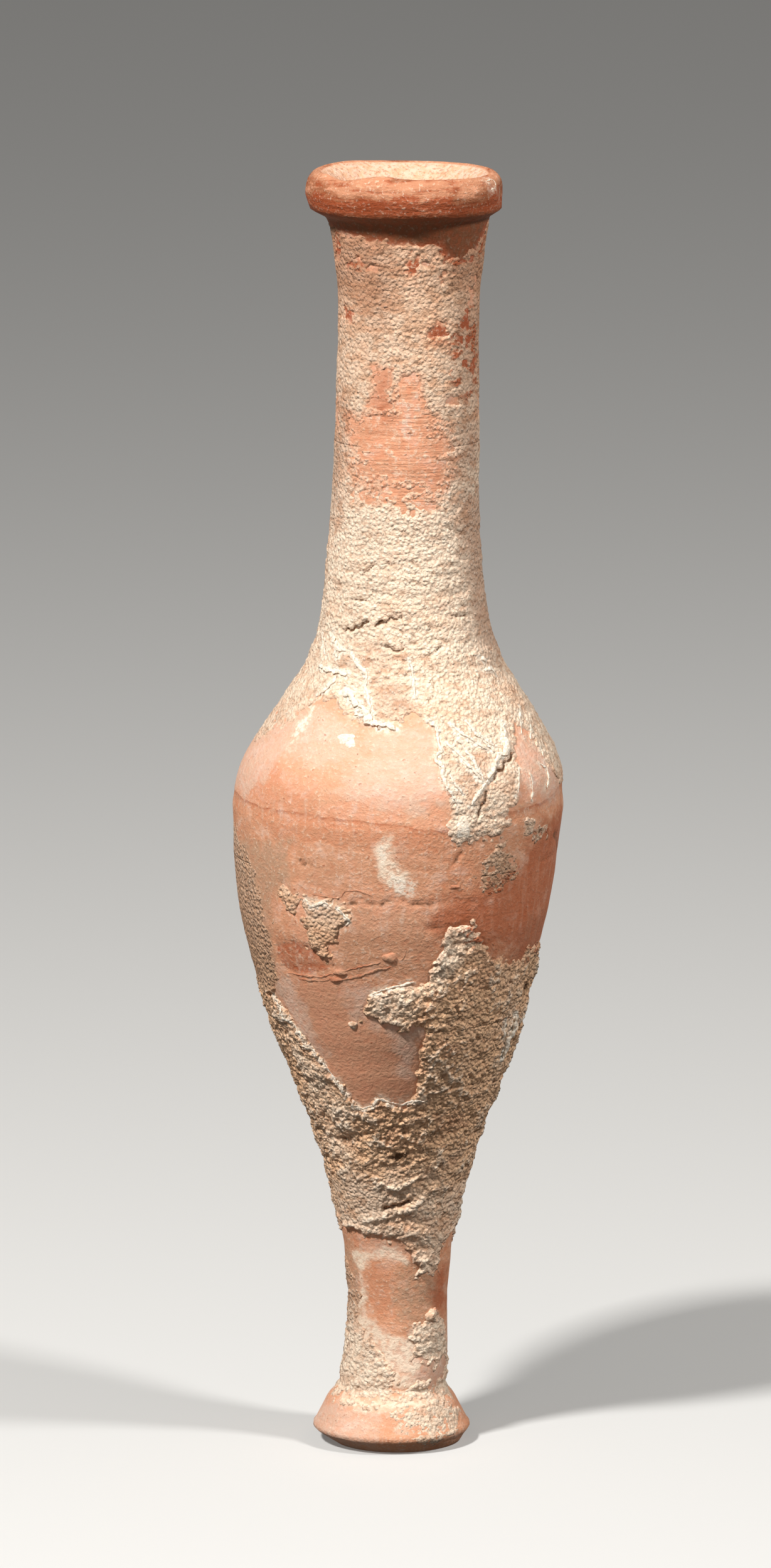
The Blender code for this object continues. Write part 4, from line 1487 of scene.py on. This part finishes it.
def make_crust(name, low, high, columns, sizes, crust, material):
    """The soil crust between two heights, as a closed shell laid on the clay.

    A grid round the flask is lifted by the crust's thickness. Cells without crust are left out, the
    underside lies inside the clay, and walls close the shell at its edges.
    """
    rows, across = stepped(outer_outline(), crust.step / MM)
    chosen = (rows[:, 1] >= low) & (rows[:, 1] <= high)
    rows, across = rows[chosen], across[chosen]
    angles = column_angles(columns, sizes.front_share)
    count = len(rows)
    row = np.repeat(np.arange(count), columns)
    spots = Spots(np.tile(angles, count), *rows[row].T, *across[row].T)
    known = relief(spots, sizes, crust)
    covered = known["cover"].reshape(count, columns) > 0
    right = np.roll(covered, -1, axis=1)
    kept = without_pinches(covered[:-1] | right[:-1] | covered[1:] | right[1:])
    bottom_lift = np.minimum(known["clay"], known["top"]) - crust.buried / MM
    points = np.vstack([spots.lifted(known["top"]), spots.lifted(bottom_lift)])
    top = np.arange(count * columns).reshape(count, columns)
    faces = shell_faces(kept, top, count * columns)
    used, renumbered = np.unique(faces, return_inverse=True)
    faces = renumbered.reshape(faces.shape)
    mesh = mesh_from(name, points[used], [faces])

    def both(values):
        return np.concatenate([values, values])[used]

    wandered = known["wandered"]
    limy = share_inside(areas(wandered, PALE_AREAS), LIMY_BLEND)
    pale = smooth_value(CRUST_PALENESS, spots.height)
    pale = pale + (1 - pale) * limy
    keep_values(
        mesh,
        edge=both(np.clip(known["cover"], -1, 3)),
        relief=both(known["relief"]),
        pale=both(pale),
        earth=both(smooth_value(CRUST_EARTH, spots.height) * (1 - LIMY_EARTH_LOSS * limy)),
        lime=both(inside_marks(spots, LIME_MARKS)),
        red=both(areas(wandered, STAINS["deep_slip"] + STAINS["lip_red"])),
        tan=both(areas(wandered, TAN_AREAS)),
        thin=both(known["thin"]),
        film=both(known["film"]),
        crack=both(known["crack"]),
    )
    finished(name, mesh, material)


def make_strands(name, strands, sizes, crust, material, lift_share):
    """Thin raised strands along paths on the surface, joined into one mesh of closed tubes.

    A strand's cross-section is a circle flattened onto the surface. Its thickness falls to nothing at
    both ends as a root of a parabola, and noise bends, swells, thins and almost breaks it.
    """
    sides = STRAND_SIDES
    all_points = []
    all_faces = []
    count = 0
    for half_thickness, *points in strands:
        angles, heights = walked_path(points, STRAND_STEP)
        steps = len(angles)
        t = np.linspace(-1, 1, steps)
        centre = spots_on(angles, heights)
        jitter = half_thickness * mixed_noise(centre.place, "strand_bends")
        worn = np.clip(1 + mixed_noise(centre.place, "strand_wear"), *STRAND_WEAR)
        tapered = half_thickness * worn * np.clip(1 - t**2, 0, None) ** 0.35
        size = np.clip(tapered, STRAND_THINNEST, None)
        along = np.gradient(np.column_stack([np.radians(angles) * centre.radius, heights]), axis=0)
        along /= np.linalg.norm(along, axis=1)[:, None] + 1e-9
        turn = np.linspace(0, 2 * math.pi, sides, endpoint=False)
        sideways = np.cos(turn)[None] * size[:, None] + jitter[:, None]
        off = np.sin(turn)[None] * size[:, None] * STRAND_FLATNESS
        ring_angle = angles[:, None] - np.degrees(along[:, 1:] * sideways / centre.radius[:, None])
        ring_height = heights[:, None] + along[:, :1] * sideways
        spots = spots_on(ring_angle.ravel(), ring_height.ravel())
        ground = ground_height(relief(spots, sizes, crust))
        smooth_ground = ground.reshape(steps, sides).mean(axis=1).repeat(sides)
        lift = smooth_ground + lift_share * half_thickness + off.ravel()
        all_points.append(spots.lifted(lift))
        number = count + np.arange(steps * sides).reshape(steps, sides)
        all_faces.append((grid_cells(number).reshape(-1, 4), [number[0][::-1], number[-1]]))
        count += steps * sides
    quads = np.vstack([quads for quads, _ in all_faces])
    ends = np.vstack([cap for _, caps in all_faces for cap in caps])
    finished(name, mesh_from(name, np.vstack(all_points), [quads, ends]), material)


def make_lumps(name, kind, sizes, crust, material):
    """The small lumps of one kind, each a dome over a round grid with a sunk rim, closed below.

    A lump's height is its thickness times the square root of one less the squared distance, roughened
    by noise, and its underside is flat inside the clay. Three and five waves round make its rim uneven.
    """
    rings, sides = LUMP_RINGS, LUMP_SIDES
    all_points = []
    all_faces = []
    count = 0
    for angle, height, half_width, half_height, thickness, what in LUMPS:
        if what != kind:
            continue
        out = np.repeat(np.linspace(LUMP_CORE, 1.0, rings), sides)
        turn = np.tile(np.linspace(0, 2 * math.pi, sides, endpoint=False), rings)
        wobble = 1 + 0.12 * np.sin(3 * turn + angle) + 0.07 * np.sin(5 * turn + 2 * height)
        radius = spots_on([angle], [height]).radius[0]
        across = out * wobble * half_width * np.cos(turn)
        up = out * wobble * half_height * np.sin(turn)
        angles = np.append(angle + np.degrees(across / radius), angle)
        heights = np.append(height + up, height)
        out = np.append(out, 0.0)
        spots = spots_on(angles, heights)
        ground = ground_height(relief(spots, sizes, crust)).mean()
        rough = 1 + mixed_noise(spots.place, "rough_lumps")
        dome = thickness * rough * np.sqrt(np.clip(1 - out**2, 0, None))
        upper = spots.lifted(ground + dome - LUMP_SUNK)
        lower = spots.lifted(np.full(len(out), ground - LUMP_UNDERSIDE))
        size = rings * sides + 1
        number = count + np.arange(rings * sides).reshape(rings, sides)
        quads = grid_cells(number).reshape(-1, 4)[:, [0, 3, 2, 1]]
        rim, rim_next = number[-1], np.roll(number[-1], -1)
        walls = np.column_stack([rim, rim + size, rim_next + size, rim_next])
        middle = np.full(sides, count + rings * sides)
        fan = np.column_stack([number[0], np.roll(number[0], -1), middle])
        all_points += [upper, lower]
        quads = np.vstack([quads, quads[:, ::-1] + size, walls])
        all_faces.append((quads, np.vstack([fan, fan[:, ::-1] + size])))
        count += 2 * size
    quads = np.vstack([quads for quads, _ in all_faces])
    fans = np.vstack([fan for _, fan in all_faces])
    mesh = mesh_from(name, np.vstack(all_points), [quads, fans])
    same_all_over = {"edge": 3, "pale": 0.7, "earth": 0.2, "lime": -3, "red": -3, "tan": -3}
    keep_values(mesh, **{field: np.full(count, value) for field, value in same_all_over.items()})
    finished(name, mesh, material)


def add_node(tree, kind, links=None, pick=0, **settings):
    """Adds a shader node, joins its inputs to sockets or sets them, and gives one of its outputs."""
    node = tree.nodes.new("ShaderNode" + kind)
    for name, value in settings.items():
        setattr(node, name, value)
    for key, value in (links or {}).items():
        if isinstance(value, bpy.types.NodeSocket):
            tree.links.new(value, node.inputs[key])
        elif isinstance(value, Color):
            node.inputs[key].default_value = (*value, 1.0)
        else:
            node.inputs[key].default_value = value
    return node.outputs[pick]


# Numbers of the inputs and the output that a Mix node uses for colours
MIX_BELOW = 6
MIX_ABOVE = 7
MIX_RESULT = 2

# Noise spreads evenly about a half. Cells hold the distance to the nearest of scattered points, so they
# rise towards each point as round grains do.
TEXTURE_LIMITS = {"Noise": (0.25, 0.75), "Voronoi": (0.75, 0.15)}

# Textures by name: kind, waves per mm along x, y and z, detail, roughness and a shift that sets them apart
CLAY_TEXTURES = {
    "cloud": ("Noise", (0.10, 0.10, 0.12), 4.0, 0.55, 1.0),
    "blotch": ("Noise", (0.32, 0.32, 0.42), 5.0, 0.6, 3.0),
    "speck": ("Noise", (1.15, 1.15, 1.3), 4.0, 0.62, 7.0),
    "wheel": ("Noise", (0.06, 0.06, 1.3), 4.0, 0.6, 11.0),
    # The wheel's finest lines stand closer than the picture shows, so they are drawn 0.6 mm apart
    "rills": ("Noise", (0.10, 0.10, 1.7), 3.0, 0.65, 19.0),
    "scrape": ("Noise", (0.22, 0.22, 1.1), 5.0, 0.62, 15.0),
    # A brush's hairs leave lines finer than the picture shows, so they are drawn 1 mm apart
    "brush": ("Noise", (0.9, 0.9, 0.12), 4.0, 0.62, 23.0),
    "grit": ("Noise", (2.2, 2.2, 2.5), 3.0, 0.6, 5.0),
}
CRUST_TEXTURES = {
    "cloud": ("Noise", (0.15, 0.15, 0.2), 4.0, 0.55, 2.0),
    "blotch": ("Noise", (0.45, 0.45, 0.75), 5.0, 0.6, 4.0),
    "speck": ("Noise", (1.25, 1.25, 1.25), 4.0, 0.62, 8.0),
    # Grains of sand are finer than the picture shows, so they are drawn about 0.4 mm across
    "sand": ("Noise", (2.4, 2.4, 2.4), 3.0, 0.6, 9.0),
    "grains": ("Voronoi", (1.85, 1.85, 1.85), 0.0, 0.5, 13.0),
}

# Numbers stored with the pieces that the layers of colour read
CLAY_FIELDS = (
    "orange", "deep_slip", "red_step", "panel", "dull", "dust", "haze", "cream", "lime", "lip_red", "salmon",
    "lip_worn", "rubbed", "slip_line", "cover", "groove", "mouth", "lip", "under_lip",
)
CRUST_FIELDS = ("edge", "relief", "pale", "earth", "lime", "red", "tan", "thin", "film", "crack")

# Layers of colour from the bottom up. A layer is a colour and its conditions. A condition is a texture, a
# stored number, or both with the reach in mm by which the texture frays it. Then come the values where the
# colour begins and is full, and its least and greatest amount unless they are 0 and 1. A layer's
# conditions are multiplied. The named ones are used by several layers.
ON_LIP = ("lip", 0.2, 0.8)
OFF_LIP = ("lip", 0.8, 0.2)
IN_MOUTH = ("mouth", 0.3, 0.7)
OFF_PANEL = ("panel", 0.4, -0.6, 0.1, 1)
BELOW_SLIP_LINE = ("slip_line", 0.04, -0.04)
BROWNER = ("pale", 1, 0.6, 0.5, 1)
CLAY_LAYERS = (
    ("slip", ("blotch", -0.6, 0.5, 0.1, 0.85)),
    ("deep_slip", ("cloud", 0.1, 0.7, 0, 0.25), ("blotch", -0.6, 0.3, 0.3, 1)),
    ("bright_clay", (("rubbed", "blotch", 1.6), -1.2, 1.4, 0, 0.8)),
    ("bright_clay", (("slip_line", "speck", 0.35), -0.1, 0.15), ("cloud", -0.5, 0.5, 1, 0.8)),
    ("clay", ("slip_line", 0, 0.3), ("blotch", -0.1, 0.5, 0, 0.85)),
    ("deep_slip", ("slip_line", -2.2, -0.1, 0, 0.3), BELOW_SLIP_LINE),
    ("deep_slip", (("slip_line", "speck", 0.5), -0.6, -0.1, 0, 0.8), BELOW_SLIP_LINE),
    ("slip", (("orange", "blotch", 1.3), -0.5, 0.7, 0, 0.8), ("speck", -0.6, 0.4, 0.6, 1)),
    ("deep_slip", (("red_step", "speck", 0.2), -0.15, 0.15, 0, 0.85)),
    ("panel", (("panel", "blotch", 0.8), -0.3, 0.3, 0, 0.95)),
    ("dust", (("dull", "blotch", 2), -1, 2, 0, 0.3)),
    ("salmon", (("salmon", "blotch", 1), -0.6, 0.8)),
    ("slip", ("salmon", -0.5, 1), ("blotch", -0.2, 0.5, 0, 0.8), ("rills", -0.5, 0.4, 0.5, 1)),
    ("crust", ("salmon", -0.5, 1), ("speck", 0.05, 0.5, 0, 0.65), ("blotch", 0.3, -0.4, 0.2, 1)),
    ("lip", ON_LIP),
    ("lip_worn", (("lip_worn", "blotch", 0.9), -0.7, 0.3, 0, 0.95), ("speck", -0.7, 0.2, 0.6, 1)),
    ("lip_red", ON_LIP, ("scrape", 0, -0.5, 0, 0.8), ("speck", -0.5, 0.3, 0.3, 1)),
    ("bright_clay", ON_LIP, ("scrape", 0.15, 0.55, 0, 0.6), ("speck", -0.5, 0.3, 0.3, 1)),
    ("soil", ON_LIP, ("scrape", -0.25, -0.8, 0, 0.45)),
    ("haze", ("brush", 0.1, 0.6, 0, 0.3), ("speck", -0.4, 0.3, 0.2, 1), OFF_LIP, OFF_PANEL),
    ("haze", ("blotch", -0.1, -0.6, 0, 0.35), ("speck", -0.5, 0.4, 0.4, 1), OFF_LIP, OFF_PANEL),
    ("dust", (("dust", "blotch", 1.6), -1, 1, 0, 0.95), ("speck", -0.5, 0.35, 0.45, 1)),
    ("haze", (("haze", "blotch", 2), -1.2, 1.2, 0, 0.65), ("speck", -0.6, 0.3, 0.5, 1)),
    ("crust_tan", (("cover", "speck", 1.4), -2.2, -0.2, 0, 0.45), ("blotch", -0.6, 0.4, 0.3, 1)),
    ("deep_slip", (("deep_slip", "blotch", 2), -1.6, 2.6, 0, 0.7), ("brush", 0.7, -0.4, 0.75, 1)),
    # Dark red slip and then dark soil under the lip: partly real slip and soil, partly the lip's painted
    # shadow
    ("lip_red", (("lip_red", "speck", 0.5), -0.25, 0.35, 0, 0.9), ("speck", 0.6, 0, 0.6, 1)),
    ("soil", ("under_lip", -0.4, 1.2, 0, 0.8), ("speck", -0.6, 0.4, 0.6, 1)),
    ("crust", (("cream", "blotch", 0.7), -0.6, 0.5, 0, 0.85), ("speck", -0.6, 0.2, 0.4, 1)),
    ("crust", (("lime", "blotch", 0.8), -0.9, 0.5, 0, 0.6), ("speck", -0.5, 0.3, 0.1, 1)),
    ("lime", (("lime", "speck", 0.9), -0.3, 0.7, 0, 0.8), ("grit", -0.6, 0.3, 0.3, 1)),
    ("lip_red", ("speck", 0.62, 0.8, 0, 0.55)),
    ("crust", ("grit", 0.15, 0.7, 0, 0.42), ("speck", -0.4, 0.4, 0.2, 1), ("panel", 0.4, -0.4, 0.2, 1),
     ("deep_slip", 1, -1, 0.25, 1), ("under_lip", 0.6, -0.6, 0.3, 1)),
    ("soil", ("grit", -0.62, -0.85, 0, 0.5), ("blotch", -0.2, 0.4, 0.1, 1)),
    # Soil darkens the clay's grooves, partly as painted shade along them
    ("soil", ("groove", 0.04, 0.2, 0, 0.75), ("speck", -0.5, 0.3, 0.35, 1)),
    ("crust_tan", IN_MOUTH),
    ("haze", IN_MOUTH, ("speck", -0.5, 0.4, 0, 0.45)),
    ("lip_worn", IN_MOUTH, ("grit", 0, -0.7, 0, 0.55)),
)
CRUST_LAYERS = (
    ("crust_tan", ("pale", 0.95, 0.15, 0, 0.95), ("blotch", -0.7, 0.5, 0.6, 1)),
    ("crust_tan", ("blotch", -0.1, 0.5, 0, 0.65), BROWNER),
    ("crust_brown", (("earth", "cloud", 0.35), 0.1, 0.85)),
    ("clay", ("cloud", 0.15, 0.65, 0, 0.35), BROWNER),
    ("clay", (("edge", "blotch", 0.5), 1.3, 0.2, 0, 0.35), ("speck", -0.4, 0.5, 0.3, 1)),
    ("clay", ("blotch", -0.1, -0.7, 0, 0.4), ("speck", -0.5, 0.5, 1, 0.3)),
    ("dust", ("film", 0.1, 0.9, 0, 0.85), ("speck", -0.5, 0.5, 1, 0.5), ("pale", 0.8, 0.5, 0.2, 1)),
    ("salmon", (("thin", "blotch", 0.35), 0.15, 1, 0, 0.9), ("speck", -0.5, 0.5, 1, 0.35)),
    ("lip_worn", (("tan", "blotch", 2.4), -3, 3, 0, 0.5)),
    ("deep_slip", ("red", -1, 0.8), (("relief", "blotch", 0.5), 0.02, 0.2, 0, 0.9)),
    # Paler on crests and darker in low parts, between grains and in cracks: partly lime and soil, partly
    # painted highlight and painted shade
    ("crust", ("relief", 0.06, 0.3, 0, 0.7), ("red", 0.5, -1.5, 0.3, 1)),
    ("lime", ("relief", 0.2, 0.5, 0, 0.35), ("pale", 0.2, 0.9, 0.3, 1)),
    ("crust_tan", ("grains", 0, -0.9, 0, 0.4), ("blotch", -0.5, 0.5, 0.4, 1)),
    ("soil", ("grains", -0.7, -1.3, 0, 0.35), ("speck", 0.2, -0.5, 0.1, 1)),
    ("soil", ("relief", -0.14, -0.6, 0, 0.4)),
    ("soil", (("crack", "speck", 0.1), 0.12, 0.42, 0, 0.9)),
    ("soil", ("speck", -0.5, -0.9, 0, 0.4)),
    ("soil", ("sand", -0.5, -1, 0, 0.3)),
    ("lime", ("grains", 0.2, 1, 0, 0.5), ("sand", -0.2, 0.6, 0.2, 1), ("pale", 0.1, 0.9, 0.3, 1)),
    ("lime", (("lime", "speck", 0.6), -0.45, 0.3, 0, 0.9)),
)


def layered_material(name, colours, base, layers, textures, fields, bumps, roughness, specular):
    """A matt material of colours laid over each other.

    Each texture is noise or cells, spread to lie between about -1 and 1. A bump is a texture, its height
    in metres, its strength and perhaps the stored area that it keeps to, and each bends the surface that
    the one before it left.
    """
    material = bpy.data.materials.new(name)
    material.use_nodes = True
    tree = material.node_tree
    shader = tree.nodes["Principled BSDF"]
    place = add_node(tree, "TexCoord", pick="Object")
    known = {field: add_node(tree, "Attribute", pick="Fac", attribute_name=field) for field in fields}
    for texture, (kind, waves, detail, fineness, shift) in textures.items():
        scale = [wave / MM for wave in waves]
        scaled = add_node(tree, "Mapping", {"Vector": place, "Location": (shift,) * 3, "Scale": scale})
        pattern = {"Vector": scaled, "Scale": 1.0, "Detail": detail, "Roughness": fineness}
        low, high = TEXTURE_LIMITS[kind]
        spread = {"From Min": low, "From Max": high, "To Min": -1.0, "To Max": 1.0}
        spread["Value"] = add_node(tree, "Tex" + kind, pattern)
        known[texture] = add_node(tree, "MapRange", spread, clamp=False)

    colour = getattr(colours, base)
    for over, *conditions in layers:
        amount = 1.0
        for source, begins, full, *amounts in conditions:
            least, most = amounts or (0, 1)
            if isinstance(source, tuple):
                field, texture, reach = source
                frayed = {0: known[texture], 1: reach, 2: known[field]}
                value = add_node(tree, "Math", frayed, operation="MULTIPLY_ADD")
            else:
                value = known[source]
            limits = {"From Min": begins, "From Max": full, "To Min": least, "To Max": most}
            limits["Value"] = value
            eased = add_node(tree, "MapRange", limits, interpolation_type="SMOOTHSTEP")
            amount = add_node(tree, "Math", {0: eased, 1: amount}, operation="MULTIPLY")
        sides = {"Factor": amount, MIX_BELOW: colour, MIX_ABOVE: getattr(colours, over)}
        colour = add_node(tree, "Mix", sides, pick=MIX_RESULT, data_type="RGBA")
    tree.links.new(colour, shader.inputs["Base Color"])

    surface = {}
    for texture, distance, strength, *within in bumps:
        for field in within:
            limits = {"Value": known[field], "From Max": BUMP_BLEND, "To Max": strength}
            strength = add_node(tree, "MapRange", limits)
        surface = {"Height": known[texture], "Distance": distance, "Strength": strength, **surface}
        surface = {"Normal": add_node(tree, "Bump", surface)}
    tree.links.new(surface["Normal"], shader.inputs["Normal"])
    shader.inputs["Roughness"].default_value = roughness
    shader.inputs["Specular IOR Level"].default_value = specular
    return material


def worn_terracotta(colours):
    """Unglazed wheel-thrown terracotta with the worn remains of a red slip.

    Fired iron-rich clay is matt and salmon. The slip is a finer clay, redder and a little smoother. It
    survives in patches with crisp edges, and films of lime and dust lie over both.
    """
    bumps = (
        ("wheel", 0.015 * MM, 0.08),
        ("speck", 0.045 * MM, 0.75),
        ("grit", 0.035 * MM, 0.8),
        ("rills", 0.07 * MM, 0.7, "salmon"),
        ("scrape", 0.10 * MM, 0.8, "lip"),
    )
    parts = ("clay", CLAY_LAYERS, CLAY_TEXTURES, CLAY_FIELDS, bumps)
    return layered_material("worn_terracotta", colours, *parts, roughness=0.8, specular=0.3)


def soil_crust(colours):
    """Burial crust of lime and soil.

    Lime from ground water has set fine sand and earth hard. It is matt and granular, creamy where lime
    leads and brown where earth does. Its raised grains and crests are painted paler and its pits and cracks
    darker, partly lime and soil and partly painted highlight and painted shade.
    """
    bumps = (
        ("speck", 0.055 * MM, 0.8),
        ("grains", 0.08 * MM, 0.8),
        ("grains", 0.07 * MM, 0.9, "earth"),
        ("sand", 0.09 * MM, 0.85),
    )
    parts = ("crust", CRUST_LAYERS, CRUST_TEXTURES, CRUST_FIELDS, bumps)
    return layered_material("soil_crust", colours, *parts, roughness=0.94, specular=0.2)


def white_lime(colours):
    """Hard white lime that grew along roots. It is chalky, matt and faintly uneven in tone."""
    layers = (("crust", ("speck", -0.4, 0.4, 0.0, 0.6)), ("crust_tan", ("sand", -0.1, 0.6, 0.0, 0.35)))
    bumps = (("speck", 0.10 * MM, 0.8), ("sand", 0.08 * MM, 0.8))
    parts = ("lime", layers, CRUST_TEXTURES, (), bumps)
    return layered_material("white_lime", colours, *parts, roughness=0.9, specular=0.25)


def raised_clay(colours):
    """Clay that a tool pushed up into ridges and crumbs, rubbed paler than the slip around it."""
    layers = (("dust", ("speck", -0.6, 0.3, 0.3, 0.8)), ("deep_slip", ("blotch", -0.2, 0.5, 0.0, 0.5)))
    bumps = (("speck", 0.08 * MM, 0.8), ("grit", 0.04 * MM, 0.7))
    parts = ("panel", layers, CLAY_TEXTURES, (), bumps)
    return layered_material("raised_clay", colours, *parts, roughness=0.88, specular=0.3)


def studio_floor(stage):
    """Matt painted board, pale and plain, with a faint light of its own that keeps its far end pale."""
    material = bpy.data.materials.new("studio_floor")
    material.use_nodes = True
    shader = material.node_tree.nodes["Principled BSDF"]
    shader.inputs["Base Color"].default_value = (*stage.floor, 1.0)
    shader.inputs["Roughness"].default_value = 0.9
    shader.inputs["Emission Color"].default_value = (*stage.floor, 1.0)
    shader.inputs["Emission Strength"].default_value = stage.floor_light
    return material


def soft_light(name, azimuth, elevation, distance, size, power, target):
    """A square soft light at an angle round the flask from the front and an angle up from its target."""
    turn = math.radians(azimuth)
    rise = math.radians(elevation)
    out = Vector((math.sin(turn) * math.cos(rise), -math.cos(turn) * math.cos(rise), math.sin(rise)))
    light = bpy.data.lights.new(name, "AREA")
    light.shape = "SQUARE"
    light.size = size
    light.energy = power
    lamp = bpy.data.objects.new(name, light)
    lamp.location = target + out * distance
    lamp.rotation_euler = out.to_track_quat("Z", "Y").to_euler()
    bpy.context.scene.collection.objects.link(lamp)


class FLASK_OT_throw_vessel(bpy.types.Operator):
    """Makes the clay flask itself, outside and hollow"""

    bl_idname = "flask.throw_vessel"
    bl_label = "Throw vessel"

    def execute(self, context):
        scene = context.scene
        make_vessel(scene.flask_sizes, scene.crust_sizes, worn_terracotta(scene.flask_colours))
        return {"FINISHED"}


class FLASK_OT_lay_crust(bpy.types.Operator):
    """Lays the soil crust on neck, shoulder, belly, stem and foot"""

    bl_idname = "flask.lay_crust"
    bl_label = "Lay crust"

    def execute(self, context):
        scene = context.scene
        material = soil_crust(scene.flask_colours)
        for band in CRUST_BANDS:
            make_crust(*band, scene.flask_sizes, scene.crust_sizes, material)
        make_lumps("crust_lumps", "crust", scene.flask_sizes, scene.crust_sizes, material)
        return {"FINISHED"}


class FLASK_OT_grow_lime(bpy.types.Operator):
    """Adds the white lime of roots and the lime lumps"""

    bl_idname = "flask.grow_lime"
    bl_label = "Grow lime"

    def execute(self, context):
        scene = context.scene
        material = white_lime(scene.flask_colours)
        make_strands("lime_roots", LIME_MARKS, scene.flask_sizes, scene.crust_sizes, material, 0.4)
        make_lumps("lime_lumps", "lime", scene.flask_sizes, scene.crust_sizes, material)
        return {"FINISHED"}


class FLASK_OT_raise_ridges(bpy.types.Operator):
    """Adds the ridges and crumbs of clay that a tool raised"""

    bl_idname = "flask.raise_ridges"
    bl_label = "Raise ridges"

    def execute(self, context):
        scene = context.scene
        material = raised_clay(scene.flask_colours)
        make_strands("tool_ridges", TOOL_RIDGES, scene.flask_sizes, scene.crust_sizes, material, 0.15)
        make_lumps("clay_crumbs", "clay", scene.flask_sizes, scene.crust_sizes, material)
        return {"FINISHED"}


class FLASK_OT_set_stage(bpy.types.Operator):
    """Sets the pale floor, the soft lights and the camera"""

    bl_idname = "flask.set_stage"
    bl_label = "Set stage"

    def execute(self, context):
        scene = context.scene
        stage = scene.flask_stage
        corners = FLOOR_HALF * np.array([(-1, -1, 0), (1, -1, 0), (1, 1, 0), (-1, 1, 0)])
        mesh = mesh_from("floor", corners / MM, [np.array([[0, 1, 2, 3]])])
        mesh.materials.append(studio_floor(stage))
        floor = bpy.data.objects.new("floor", mesh)
        scene.collection.objects.link(floor)
        # The floor is seen but sends no light back up, which keeps the shadow under the lip sharp
        floor.visible_diffuse = False

        target = Vector((0.0, 0.0, 0.5 * CREST_HEIGHT * MM))
        for name, azimuth, elevation, distance, size, power in LIGHTS:
            soft_light(name, azimuth, elevation, distance, size, getattr(stage, power), target)
        world = bpy.data.worlds.new("studio")
        world.use_nodes = True
        sky = world.node_tree.nodes["Background"]
        sky.inputs["Color"].default_value = SKY_COLOUR
        sky.inputs["Strength"].default_value = stage.sky_strength
        scene.world = world
        scene.view_settings.view_transform = "Standard"

        camera = bpy.data.cameras.new("camera")
        camera.sensor_fit = "VERTICAL"
        camera.sensor_height = 36.0
        camera.lens = stage.lens
        camera.clip_start = 0.05
        camera.clip_end = 50.0
        eye = bpy.data.objects.new("camera", camera)
        eye.location = (-stage.camera_left, -stage.camera_distance, stage.camera_height)
        eye.rotation_euler = (math.pi / 2 - stage.camera_pitch, 0.0, 0.0)
        scene.collection.objects.link(eye)
        scene.camera = eye
        return {"FINISHED"}


class FLASK_PT_maker(bpy.types.Panel):
    """Lists the steps that finish the flask, and their sizes and colours"""

    bl_label = "Oil flask"
    bl_idname = "FLASK_PT_maker"
    bl_space_type = "VIEW_3D"
    bl_region_type = "UI"
    bl_category = "Flask"

    def draw(self, context):
        layout = self.layout
        for operator in OPERATORS:
            layout.operator(operator.bl_idname)
        for group in GROUPS:
            box = layout.box()
            settings = getattr(context.scene, group)
            for name in settings.bl_rna.properties.keys():
                if name not in ("rna_type", "name"):
                    box.prop(settings, name)


OPERATORS = (
    FLASK_OT_throw_vessel,
    FLASK_OT_lay_crust,
    FLASK_OT_grow_lime,
    FLASK_OT_raise_ridges,
    FLASK_OT_set_stage,
)
GROUPS = {
    "flask_sizes": FlaskSizes,
    "crust_sizes": CrustSizes,
    "flask_colours": FlaskColours,
    "flask_stage": FlaskStage,
}


def register():
    for cls in (*GROUPS.values(), *OPERATORS, FLASK_PT_maker):
        bpy.utils.register_class(cls)
    for name, group in GROUPS.items():
        setattr(bpy.types.Scene, name, bpy.props.PointerProperty(type=group))


def unregister():
    for name in GROUPS:
        delattr(bpy.types.Scene, name)
    for cls in (FLASK_PT_maker, *reversed(OPERATORS), *GROUPS.values()):
        bpy.utils.unregister_class(cls)


def main():
    register()
    bpy.ops.flask.throw_vessel()
    bpy.ops.flask.lay_crust()
    bpy.ops.flask.grow_lime()
    bpy.ops.flask.raise_ridges()
    bpy.ops.flask.set_stage()


if __name__ == "__main__":
    main()
